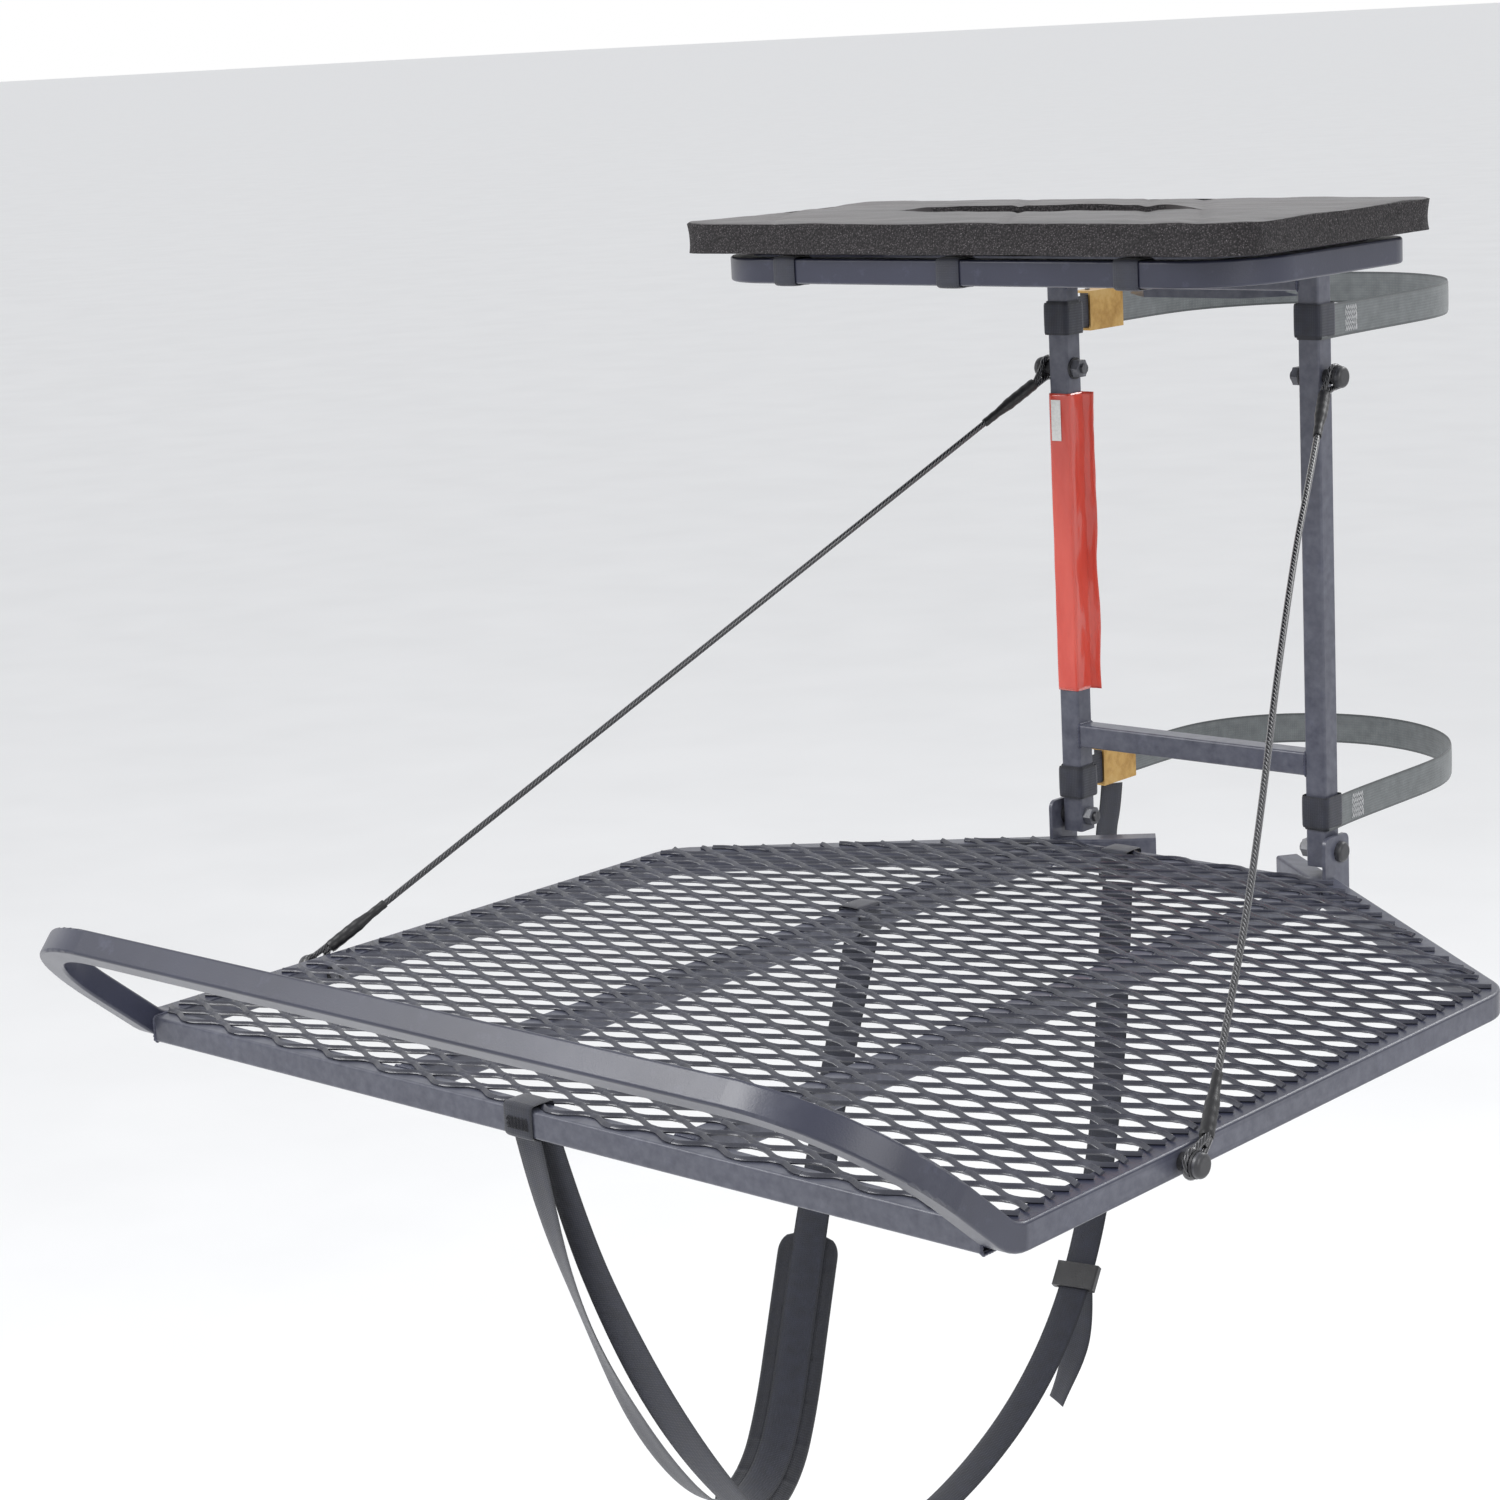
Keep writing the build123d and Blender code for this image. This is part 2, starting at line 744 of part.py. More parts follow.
for level, strap_height in {"upper": upper_strap_height, "lower": lower_strap_height}.items():
    strap_plane = Plane.XY.offset(strap_height - web_width / 2)

    # the short black strap: a loop round the left post and a run back into the buckle
    with BuildPart() as short_strap:
        with BuildSketch(strap_plane):
            with Locations((-post_x, post_y)):
                RectangleRounded(wrap_outer, wrap_outer, 3.2)
            with Locations((-run_x, (post_y + black_end_y) / 2)):
                Rectangle(web_thickness, black_end_y - post_y)
            with Locations((-post_x, post_y)):
                RectangleRounded(wrap_inner, wrap_inner, 2.2, mode=Mode.SUBTRACT)
        extrude(amount=web_width)
    write_piece(short_strap, f"{level}_strap_short_end")

    # the long grey strap: a loop round the right post, then round the tree into the buckle
    with BuildPart() as long_strap:
        with BuildSketch(strap_plane):
            with Locations((0, tree_centre_y)):
                Circle(strap_radius + web_thickness / 2)
                Circle(strap_radius - web_thickness / 2, mode=Mode.SUBTRACT)
            with Locations((0, tree_centre_y - strap_radius)):
                Rectangle(3 * strap_radius, 2 * strap_radius, mode=Mode.SUBTRACT)
            with Locations((-run_x, (grey_end_y + tree_centre_y) / 2)):
                Rectangle(web_thickness, tree_centre_y - grey_end_y)
            with Locations((run_x, (post_y + tree_centre_y) / 2)):
                Rectangle(web_thickness, tree_centre_y - post_y)
            with Locations((post_x, post_y)):
                RectangleRounded(wrap_outer, wrap_outer, 3.2)
                RectangleRounded(wrap_inner, wrap_inner, 2.2, mode=Mode.SUBTRACT)
        extrude(amount=web_width)
    write_piece(long_strap, f"{level}_strap_long_end")

    # the cam buckle: a channel whose web lies against the strap's inner face, two side
    # plates, a cam lever between them on the outer side and the pin the lever turns on
    buckle_web_x = -(run_x - web_thickness / 2 - face_clearance - buckle_plate / 2)
    lever_mid_x = -(run_x + web_thickness / 2 + lever_pivot_offset)
    side_reach = lever_pivot_offset + web_thickness + pin_radius + 4.0
    pivot_y = buckle_start_y + 12.0
    with BuildPart() as buckle_body:
        with BuildSketch(Plane.XY.offset(strap_height - buckle_height / 2)):
            with Locations((buckle_web_x, buckle_start_y + buckle_length / 2)):
                Rectangle(buckle_plate, buckle_length)
        extrude(amount=buckle_height)
        for end in (-1, 1):
            plate_z = strap_height + end * (buckle_height / 2 - buckle_side / 2)
            with BuildSketch(Plane.XY.offset(plate_z)):
                with Locations((buckle_web_x - side_reach / 2, pivot_y + 4.0)):
                    RectangleRounded(side_reach + buckle_plate, 32.0, 0.7)
                with Locations((lever_mid_x, pivot_y)):
                    Circle(pin_radius, mode=Mode.SUBTRACT)
            extrude(amount=buckle_side / 2, both=True)
    write_piece(buckle_body, f"{level}_buckle_body")

    lever_width = buckle_height - 2 * buckle_side - 0.8
    with BuildPart() as buckle_lever:
        with BuildSketch(Plane.XY.offset(strap_height - lever_width / 2)):
            with BuildLine():
                Polyline(
                    (lever_mid_x + lever_pivot_offset - 1.4, pivot_y - 3.0),
                    (lever_mid_x - 4.0, pivot_y - 4.5),
                    (lever_mid_x - 5.0, pivot_y + lever_length),
                    (lever_mid_x - 1.0, pivot_y + lever_length),
                    (lever_mid_x + 1.0, pivot_y + 6.0),
                    (lever_mid_x + lever_pivot_offset - 1.4, pivot_y + 2.0),
                    close=True,
                )
            make_face()
            with Locations((lever_mid_x, pivot_y)):
                Circle(pin_radius + running_clearance, mode=Mode.SUBTRACT)
        extrude(amount=lever_width)
    write_piece(buckle_lever, f"{level}_buckle_lever")

with BuildPart() as buckle_pins:
    for strap_height in (upper_strap_height, lower_strap_height):
        with BuildSketch(Plane.XY.offset(strap_height - buckle_height / 2 - 1.0)):
            with Locations((lever_mid_x, pivot_y)):
                Circle(pin_radius)
        extrude(amount=buckle_height + 2.0)
write_piece(buckle_pins, "buckle_pins")

# ------------------------------------------------------------------ sleeve and blank label
vinyl_inner = tube_size + 2 * vinyl_clearance
vinyl_outer = vinyl_inner + 2 * vinyl_thickness
with BuildPart() as manual_sleeve:
    with BuildSketch(Plane.XY.offset(sleeve_bottom)):
        with Locations((-post_x, post_y)):
            RectangleRounded(vinyl_outer, vinyl_outer, 2.6)
            RectangleRounded(vinyl_inner, vinyl_inner, 1.8, mode=Mode.SUBTRACT)
        with Locations((-post_x + vinyl_outer / 2 + vinyl_flap / 2 - 0.5, post_y + vinyl_outer / 2 - 0.6)):
            Rectangle(vinyl_flap + 1.0, 1.2)
    extrude(amount=sleeve_top - sleeve_bottom)
write_piece(manual_sleeve, "manual_sleeve")

label_width = 9.0
label_height = 32.0
with BuildPart() as blank_label:
    with BuildSketch(Plane.XZ.offset(-(post_y - vinyl_outer / 2))):
        with Locations((-post_x - 2.5, sleeve_top - label_height / 2 - 5.0)):
            Rectangle(label_width, label_height)
    extrude(amount=0.3)
write_piece(blank_label, "blank_label")


# ------------------------------------------------------------------ shoulder straps
def carried_across(points, span):
    """The strap's wide direction on a span of its route, starting along X and never twisting."""
    across = Vector(1, 0, 0)
    for before, corner, after in zip(points[:span], points[1:], points[2:]):
        arriving = corner - before
        leaving = after - corner
        across = across.rotate(Axis((0, 0, 0), arriving.cross(leaving)), arriving.get_angle(leaving))
    return across


def write_webbing(name, points, width, thickness, lift=0.0, across=Vector(1, 0, 0)):
    """A flat strap along a route; across is its wide direction and lift moves it off the route."""
    with BuildPart() as webbing:
        with BuildLine() as webbing_route:
            FilletPolyline(*points, radius=corner_radii(points))
        route_start = webbing_route.line % 0
        with BuildSketch(Plane(origin=points[0], x_dir=across, z_dir=route_start)):
            with Locations((0, lift)):
                Rectangle(width, thickness)
        sweep()
        route_length = sum(edge.length for edge in webbing_route.edges())
        print(
            f"{name}: length {route_length:.0f} mm, volume {webbing.part.volume:.0f} against",
            f"{width * thickness * route_length:.0f} mm3,",
            f"radii {[round(r) for r in corner_radii(points)]}",
        )
    write_piece(webbing, name)


left_shoulder_points = [
    Vector(-3, -768, -13),
    Vector(-4, -754, -76),
    Vector(-5, -731, -141),
    Vector(-7, -700, -206),
    Vector(-11, -662, -267),
    Vector(-19, -615, -320),
    Vector(-32, -563, -349),
    Vector(-51, -510, -344),
    Vector(-74, -466, -317),
    Vector(-95, -426, -271),
    Vector(-110, -390, -213),
    Vector(-120, -357, -149),
    Vector(-125, -327, -84),
    Vector(-125, -300, -14),
]
right_shoulder_points = [
    Vector(6, -760, -13),
    Vector(9, -743, -80),
    Vector(12, -717, -148),
    Vector(14, -685, -214),
    Vector(15, -645, -277),
    Vector(14, -598, -334),
    Vector(11, -544, -380),
    Vector(6, -478, -406),
    Vector(0, -405, -411),
    Vector(-6, -331, -396),
    Vector(-13, -262, -369),
    Vector(-21, -202, -328),
    Vector(-30, -156, -275),
    Vector(-38, -124, -214),
    Vector(-45, -101, -149),
    Vector(-51, -84, -82),
    Vector(-55, -70, -14),
]
shoulder_tail_points = [
    Vector(-25.5, -174.8, -305.2),
    Vector(-28, -171, -340),
    Vector(-33, -177, -375),
    Vector(-40, -190, -405),
]
write_webbing("left_shoulder_strap", left_shoulder_points, web_width, shoulder_web_thickness)
write_webbing("right_shoulder_strap", right_shoulder_points, web_width, shoulder_web_thickness)
write_webbing("shoulder_strap_tail", shoulder_tail_points, web_width, shoulder_web_thickness)
write_webbing(
    "left_shoulder_pad",
    left_shoulder_points[6:11],
    shoulder_pad_width,
    shoulder_pad_thickness,
    shoulder_pad_thickness / 2 + shoulder_web_thickness,
    carried_across(left_shoulder_points, 6),
)

# the slider on the right strap: a frame that the webbing passes through, square to it
slider_width = 35.0
slider_length = 20.0
slider_thickness = 7.0
slider_slot_clearance = 1.0
slider_span = 11
slider_middle = (right_shoulder_points[slider_span] + right_shoulder_points[slider_span + 1]) * 0.5
slider_direction = (slider_middle - right_shoulder_points[slider_span]).normalized()
with BuildPart() as strap_slider:
    slider_plane = Plane(
        origin=slider_middle - slider_direction * slider_length / 2,
        x_dir=carried_across(right_shoulder_points, slider_span),
        z_dir=slider_direction,
    )
    with BuildSketch(slider_plane):
        RectangleRounded(slider_width, slider_thickness, 1.2)
        Rectangle(
            web_width + 2 * slider_slot_clearance,
            shoulder_web_thickness + 2 * slider_slot_clearance,
            mode=Mode.SUBTRACT,
        )
    extrude(amount=slider_length)
write_piece(strap_slider, "shoulder_strap_slider")
print("slider slides along", slider_direction, "about", slider_middle)

# the sewn loops themselves
for name, (loop_plane, loop_at, along) in strap_loops.items():
    with BuildPart() as strap_loop:
        with BuildSketch(loop_plane.offset(along)):
            with Locations(loop_at):
                RectangleRounded(
                    wrap_inner + 2 * web_thickness, loop_inner_height + 2 * web_thickness, 3.2
                )
                RectangleRounded(wrap_inner, loop_inner_height, 2.2, mode=Mode.SUBTRACT)
        extrude(amount=web_width / 2, both=True)
    write_piece(strap_loop, name)

# ties that hold the sling and pad to the seat frame
tie_width = 20.0
tie_places = [-150.0, 0.0, 150.0]
with BuildPart() as seat_ties:
    for x in tie_places:
        with BuildSketch(Plane.YZ.offset(x)):
            with Locations((seat_front, seat_axis_height)):
                RectangleRounded(wrap_outer, wrap_outer, 3.2)
                RectangleRounded(wrap_inner, wrap_inner, 2.2, mode=Mode.SUBTRACT)
        extrude(amount=tie_width / 2, both=True)
write_piece(seat_ties, "seat_ties")

# the loose tail of the lower tree strap, hanging from its buckle behind the left post
tail_x = -(run_x + web_thickness / 2 + 1.6)
tail_top = lower_strap_height - buckle_height / 2 - web_thickness
with BuildPart() as lower_tail:
    with BuildSketch(Plane.YZ.offset(tail_x)):
        with BuildLine():
            Polyline(
                (buckle_start_y + 2.0, tail_top),
                (buckle_start_y - 3.0, tail_top / 3),
                (buckle_start_y - 5.0, -tail_top),
                (buckle_start_y - 5.0 + web_width, -tail_top),
                (buckle_start_y - 3.0 + web_width, tail_top / 3),
                (buckle_start_y + 2.0 + web_width, tail_top),
                close=True,
            )
        make_face()
    extrude(amount=web_thickness)
write_piece(lower_tail, "lower_strap_tail")
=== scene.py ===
import json
import math
import random

import bpy
from mathutils import Matrix, Vector, noise


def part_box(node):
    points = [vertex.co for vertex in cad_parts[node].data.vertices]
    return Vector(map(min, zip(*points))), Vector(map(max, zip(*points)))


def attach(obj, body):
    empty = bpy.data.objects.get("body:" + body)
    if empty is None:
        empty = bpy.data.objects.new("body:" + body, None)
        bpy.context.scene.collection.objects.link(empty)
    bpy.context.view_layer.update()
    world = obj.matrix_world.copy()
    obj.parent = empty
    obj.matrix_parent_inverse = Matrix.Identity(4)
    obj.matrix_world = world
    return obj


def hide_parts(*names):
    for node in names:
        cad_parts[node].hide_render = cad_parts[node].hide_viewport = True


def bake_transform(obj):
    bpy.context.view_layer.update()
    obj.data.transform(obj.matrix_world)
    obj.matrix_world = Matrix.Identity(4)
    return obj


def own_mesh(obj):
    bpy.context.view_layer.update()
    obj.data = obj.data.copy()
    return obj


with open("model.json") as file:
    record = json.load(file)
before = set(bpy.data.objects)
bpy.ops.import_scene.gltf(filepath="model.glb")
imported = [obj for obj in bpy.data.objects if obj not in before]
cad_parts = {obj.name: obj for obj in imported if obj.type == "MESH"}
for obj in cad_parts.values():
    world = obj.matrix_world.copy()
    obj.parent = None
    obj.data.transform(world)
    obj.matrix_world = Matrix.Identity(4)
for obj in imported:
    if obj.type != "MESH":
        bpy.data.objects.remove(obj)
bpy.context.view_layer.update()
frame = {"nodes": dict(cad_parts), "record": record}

random.seed(7)
MM = 0.001


def mm(x, y, z):
    return Vector((x, y, z)) * MM


# ---------------------------------------------------------------- sizes read from the frame
post_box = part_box("left_post")
post_x = -(post_box[0].x + post_box[1].x) / 2
post_y = (post_box[0].y + post_box[1].y) / 2
tube = post_box[1].x - post_box[0].x
half = tube / 2
deck_low, deck_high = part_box("deck_mesh")
front_low, front_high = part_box("platform_front_tube")
front_y = (front_low.y + front_high.y) / 2
rear_low, rear_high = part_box("platform_rear_tube")
rear_y = (rear_low.y + rear_high.y) / 2
perimeter_low, perimeter_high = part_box("platform_perimeter_tube")
side_x = perimeter_high.x - half
strut_low, strut_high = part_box("platform_left_strut")
strut_x = -(strut_low.x + strut_high.x) / 2
pad_low, pad_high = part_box("seat_pad")
seat_low, seat_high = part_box("seat_frame")


# ---------------------------------------------------------------- material building
class Nodes:
    """A short way to build a material's node tree."""

    def __init__(self, name):
        self.material = bpy.data.materials.new(name)
        self.material.use_nodes = True
        self.tree = self.material.node_tree
        self.shader = next(n for n in self.tree.nodes if n.type == "BSDF_PRINCIPLED")
        self.coords = self.tree.nodes.new("ShaderNodeTexCoord")

    def add(self, kind, **values):
        node = self.tree.nodes.new(kind)
        for key, value in values.items():
            if hasattr(node, key):
                setattr(node, key, value)
            else:
                node.inputs[key.replace("_", " ")].default_value = value
        return node

    def link(self, out, into):
        self.tree.links.new(out, into)

    def mapped(self, scale, source="Object"):
        node = self.add("ShaderNodeMapping")
        node.inputs["Scale"].default_value = scale
        self.link(self.coords.outputs[source], node.inputs["Vector"])
        return node.outputs["Vector"]

    def noise(self, scale, detail=3.0, roughness=0.55, stretch=(1, 1, 1), source="Object"):
        node = self.add("ShaderNodeTexNoise")
        node.inputs["Scale"].default_value = scale
        node.inputs["Detail"].default_value = detail
        node.inputs["Roughness"].default_value = roughness
        self.link(self.mapped(stretch, source), node.inputs["Vector"])
        return node.outputs["Fac"]

    def wave(self, scale, axis, source="UV", distortion=0.0, profile="SIN"):
        node = self.add("ShaderNodeTexWave")
        node.bands_direction = axis
        node.wave_profile = profile
        node.inputs["Scale"].default_value = scale
        node.inputs["Distortion"].default_value = distortion
        node.inputs["Detail"].default_value = 1.0
        self.link(self.coords.outputs[source], node.inputs["Vector"])
        return node.outputs["Fac"]

    def voronoi(self, scale, source="Object"):
        node = self.add("ShaderNodeTexVoronoi")
        node.inputs["Scale"].default_value = scale
        self.link(self.coords.outputs[source], node.inputs["Vector"])
        return node.outputs["Distance"]

    def ramp(self, fac, stops):
        node = self.add("ShaderNodeValToRGB")
        ramp = node.color_ramp
        while len(ramp.elements) < len(stops):
            ramp.elements.new(0.5)
        for element, (place, colour) in zip(ramp.elements, stops):
            element.position = place
            element.color = (*colour, 1) if len(colour) == 3 else colour
        self.link(fac, node.inputs["Fac"])
        return node.outputs["Color"]

    def mix(self, fac, a, b, blend="MIX"):
        node = self.add("ShaderNodeMix")
        node.data_type = "RGBA"
        node.blend_type = blend
        if isinstance(fac, float):
            node.inputs[0].default_value = fac
        else:
            self.link(fac, node.inputs[0])
        for socket, value in ((node.inputs[6], a), (node.inputs[7], b)):
            if isinstance(value, tuple):
                socket.default_value = (*value, 1)
            else:
                self.link(value, socket)
        return node.outputs[2]

    def math(self, operation, a, b):
        node = self.add("ShaderNodeMath")
        node.operation = operation
        for socket, value in zip(node.inputs, (a, b)):
            if isinstance(value, (int, float)):
                socket.default_value = value
            else:
                self.link(value, socket)
        return node.outputs[0]

    def spread(self, fac, low, high):
        node = self.add("ShaderNodeMapRange")
        node.inputs["To Min"].default_value = low
        node.inputs["To Max"].default_value = high
        self.link(fac, node.inputs["Value"])
        return node.outputs["Result"]

    def bump(self, height, strength, distance):
        node = self.add("ShaderNodeBump")
        node.inputs["Strength"].default_value = strength
        node.inputs["Distance"].default_value = distance
        self.link(height, node.inputs["Height"])
        last = getattr(self, "last_bump", None)
        if last is not None:
            self.link(last, node.inputs["Normal"])
        self.last_bump = node.outputs["Normal"]
        self.link(self.last_bump, self.shader.inputs["Normal"])

    def colour(self, output):
        self.link(output, self.shader.inputs["Base Color"])

    def rough(self, output):
        self.link(output, self.shader.inputs["Roughness"])

    def set(self, **values):
        for key, value in values.items():
            self.shader.inputs[key.replace("_", " ")].default_value = value


def powder_coat(name, dark, light, low, high, grain=900.0, wear=0.0):
    """Powder coat: fine orange peel, slow colour drift, dull patches and a trace of dust."""
    m = Nodes(name)
    drift = m.noise(9.0, 4.0)
    dust = m.noise(60.0, 6.0, 0.7)
    base = m.ramp(drift, [(0.3, dark), (0.7, light)])
    dusty = m.ramp(dust, [(0.58, (0, 0, 0)), (0.8, (0.5, 0.5, 0.5))])
    base = m.mix(dusty, base, tuple(min(1, c * 2.1 + 0.02) for c in light))
    if wear:
        geometry = m.add("ShaderNodeNewGeometry")
        edge = m.ramp(geometry.outputs["Pointiness"], [(0.52, (0, 0, 0)), (0.6, (1, 1, 1))])
        rub = m.math("MULTIPLY", edge, m.spread(m.noise(140.0, 4.0), 0.0, wear))
        base = m.mix(rub, base, (0.3, 0.31, 0.36))
    m.colour(base)
    m.rough(m.spread(m.noise(25.0, 4.0), low, high))
    m.bump(m.noise(grain, 2.0), 0.22, 0.0004)
    m.bump(m.noise(45.0, 3.0), 0.06, 0.002)
    m.set(Metallic=0.0, IOR=1.52, Coat_Weight=0.18, Coat_Roughness=0.22)
    return m.material


frame_coat = powder_coat(
    "frame_coat_detail", (0.022, 0.024, 0.043), (0.034, 0.037, 0.064), 0.28, 0.42, wear=0.4
)
mesh_coat = powder_coat(
    "mesh_coat_detail", (0.009, 0.010, 0.018), (0.018, 0.019, 0.034), 0.20, 0.34, wear=0.25
)
bolt_coat = powder_coat(
    "bolt_black_detail", (0.012, 0.012, 0.014), (0.03, 0.03, 0.034), 0.28, 0.5, 1500.0, 0.6
)
lever_coat = powder_coat(
    "lever_black_detail", (0.012, 0.012, 0.014), (0.026, 0.026, 0.03), 0.3, 0.45, 1200.0, 0.5
)


def plastic(name, dark, light, low, high, grain=700.0, strength=0.15):
    """Moulded plastic with a fine spark-eroded grain and faint flow marks."""
    m = Nodes(name)
    m.colour(m.ramp(m.noise(40.0, 3.0), [(0.3, dark), (0.75, light)]))
    m.rough(m.spread(m.noise(90.0, 4.0), low, high))
    m.bump(m.voronoi(grain), strength, 0.0003)
    m.bump(m.noise(120.0, 3.0), 0.05, 0.001)
    return m.material


plug_plastic = plastic("end_plugs_detail", (0.01, 0.01, 0.011), (0.028, 0.028, 0.03), 0.5, 0.7)
washer_plastic = plastic("spacer_nylon_detail", (0.012, 0.012, 0.014), (0.04, 0.04, 0.044), 0.45, 0.65)
slider_plastic = plastic("slider_plastic_detail", (0.008, 0.008, 0.01), (0.02, 0.02, 0.022), 0.3, 0.5)
shrink_plastic = plastic(
    "cable_sleeve_detail", (0.006, 0.006, 0.007), (0.016, 0.016, 0.018), 0.3, 0.5, 1500.0
)


def plated(name):
    """Yellow zinc plating on pressed steel: iridescent drift, rolling marks and scuffs."""
    m = Nodes(name)
    drift = m.noise(70.0, 5.0, 0.6)
    base = m.ramp(drift, [(0.3, (0.40, 0.22, 0.06)), (0.52, (0.58, 0.36, 0.12)), (0.75, (0.66, 0.46, 0.2))])
    scuff = m.noise(400.0, 3.0, 0.6, (1, 9, 1))
    m.colour(m.mix(m.ramp(scuff, [(0.6, (0, 0, 0)), (0.8, (0.5, 0.5, 0.5))]), base, (0.75, 0.66, 0.5)))
    m.rough(m.spread(m.noise(150.0, 4.0), 0.28, 0.5))
    m.bump(scuff, 0.12, 0.0003)
    m.set(Metallic=0.75)
    return m.material


buckle_plated = plated("buckle_plated_detail")


def webbing(name, dark, light, edge, rib=1.0 / 0.0016, wide=0.025):
    """Woven polyester: ribs across, twill ends along, painted shade in the weave's hollows, darker selvedges
    and a little fuzz.
    """
    m = Nodes(name)
    separate = m.add("ShaderNodeSeparateXYZ")
    m.link(m.coords.outputs["UV"], separate.inputs[0])
    along = separate.outputs[0]
    across = separate.outputs[1]
    ribs = m.math("SINE", m.math("MULTIPLY", along, rib * 2 * math.pi), 0)
    ends = m.math("SINE", m.math("MULTIPLY", across, 2 * math.pi / 0.0021), 0)
    checks = m.math("MULTIPLY", ribs, ends)
    weave = m.math("ADD", m.math("MULTIPLY", ribs, 0.35), m.math("MULTIPLY", checks, 0.3))
    weave = m.spread(weave, 0.0, 1.0)
    drift = m.noise(120.0, 4.0)
    base = m.ramp(drift, [(0.3, dark), (0.7, light)])
    # the weave's low points are mixed towards the dark edge colour: painted shade in the weave's hollows
    base = m.mix(m.ramp(weave, [(0.3, (0.45, 0.45, 0.45)), (0.75, (0, 0, 0))]), base, edge)
    edge_distance = m.math("ABSOLUTE", across, 0)
    selvedge = m.ramp(m.math("DIVIDE", edge_distance, wide / 2), [(0.84, (0, 0, 0)), (0.9, (0.7, 0.7, 0.7))])
    base = m.mix(selvedge, base, edge)
    m.colour(base)
    m.rough(m.spread(drift, 0.55, 0.8))
    m.bump(weave, 0.5, 0.0005)
    m.bump(m.noise(1800.0, 2.0), 0.2, 0.0002)
    m.set(Sheen_Weight=0.25, Sheen_Roughness=0.5)
    return m.material


web_black = webbing("web_black_detail", (0.016, 0.018, 0.030), (0.034, 0.038, 0.062), (0.008, 0.009, 0.014))
web_grey = webbing("web_grey_detail", (0.13, 0.145, 0.15), (0.21, 0.23, 0.235), (0.035, 0.04, 0.042))


def thread(name, dark, light):
    """Twisted sewing thread."""
    m = Nodes(name)
    m.colour(m.ramp(m.noise(900.0, 3.0), [(0.3, dark), (0.7, light)]))
    m.rough(m.spread(m.noise(600.0), 0.45, 0.7))
    m.bump(m.noise(2500.0, 2.0), 0.4, 0.0002)
    return m.material


white_thread = thread("white_thread", (0.5, 0.5, 0.52), (0.85, 0.85, 0.85))
black_thread = thread("black_thread", (0.01, 0.01, 0.012), (0.03, 0.03, 0.035))


def coated_cable(name):
    """Seven-strand wire rope in a thin clear-black coat, its strands in relief as a helix, with painted
    highlights on their crests and painted shade in the grooves between them.
    """
    m = Nodes(name)
    separate = m.add("ShaderNodeSeparateXYZ")
    m.link(m.coords.outputs["UV"], separate.inputs[0])
    turns = m.math("MULTIPLY", separate.outputs[0], 6 * 2 * math.pi / 0.022)
    lay = m.math("ADD", turns, m.math("MULTIPLY", separate.outputs[1], 6 * 2 * math.pi))
    strands = m.spread(m.math("SINE", lay, 0), 0.0, 1.0)
    # lighter on the strands' crests, darker in the grooves of the lay: painted highlight and painted shade
    stops = [(0.2, (0.006, 0.006, 0.008)), (0.7, (0.03, 0.03, 0.034)), (0.95, (0.10, 0.10, 0.11))]
    m.colour(m.ramp(strands, stops))
    m.rough(m.spread(m.noise(300.0), 0.16, 0.32))
    m.bump(strands, 0.7, 0.0006)
    m.set(Coat_Weight=0.7, Coat_Roughness=0.12, IOR=1.5)
    return m.material


cable_coat = coated_cable("cable_coat_detail")


def pad_skin(name):
    """The pad's moulded skin: warm black, soft sheen, creases with a painted sheen on their raised parts,
    and fine pores.
    """
    m = Nodes(name)
    drift = m.noise(7.0, 5.0, 0.6)
    base = m.ramp(drift, [(0.3, (0.014, 0.011, 0.013)), (0.7, (0.040, 0.031, 0.033))])
    crease = m.noise(16.0, 6.0, 0.7, (0.5, 1.6, 1))
    # lighter where the creases stand up: painted sheen on the crease ridges
    base = m.mix(m.ramp(crease, [(0.55, (0, 0, 0)), (0.8, (0.4, 0.4, 0.4))]), base, (0.085, 0.066, 0.066))
    m.colour(base)
    m.rough(m.spread(crease, 0.42, 0.66))
    m.bump(crease, 0.3, 0.004)
    m.bump(m.voronoi(900.0), 0.25, 0.0003)
    m.set(Sheen_Weight=0.2, Sheen_Roughness=0.4)
    return m.material


def pad_foam(name):
    """The pad's cut edge: open cells, near black with pale specks."""
    m = Nodes(name)
    cells = m.voronoi(620.0)
    fine = m.voronoi(1500.0)
    stops = [(0.1, (0.09, 0.08, 0.085)), (0.35, (0.022, 0.019, 0.021)), (0.8, (0.008, 0.007, 0.008))]
    base = m.ramp(cells, stops)
    specks = m.ramp(m.noise(1100.0, 1.0), [(0.66, (0, 0, 0)), (0.74, (0.8, 0.8, 0.8))])
    m.colour(m.mix(specks, base, (0.22, 0.20, 0.21)))
    m.rough(m.spread(m.noise(200.0), 0.7, 0.95))
    m.bump(cells, 0.8, 0.0012)
    m.bump(fine, 0.4, 0.0005)
    return m.material


skin = pad_skin("pad_skin_detail")
foam = pad_foam("pad_foam_detail")


def vinyl(name):
    """Clear red vinyl, creased along its length."""
    m = Nodes(name)
    cloud = m.noise(30.0, 5.0, 0.6, (1, 1, 0.3))
    stops = [(0.25, (0.60, 0.055, 0.035)), (0.6, (0.74, 0.10, 0.07)), (0.85, (0.86, 0.24, 0.19))]
    m.colour(m.ramp(cloud, stops))
    m.rough(m.spread(m.noise(80.0), 0.08, 0.24))
    m.bump(m.noise(60.0, 4.0, 0.6, (1, 1, 0.12)), 0.35, 0.002)
    m.set(Coat_Weight=0.8, Coat_Roughness=0.05, Subsurface_Weight=0.12, Subsurface_Scale=0.002)
    m.shader.inputs["Subsurface Radius"].default_value = (1.0, 0.2, 0.1)
    return m.material


vinyl_red = vinyl("vinyl_red_detail")


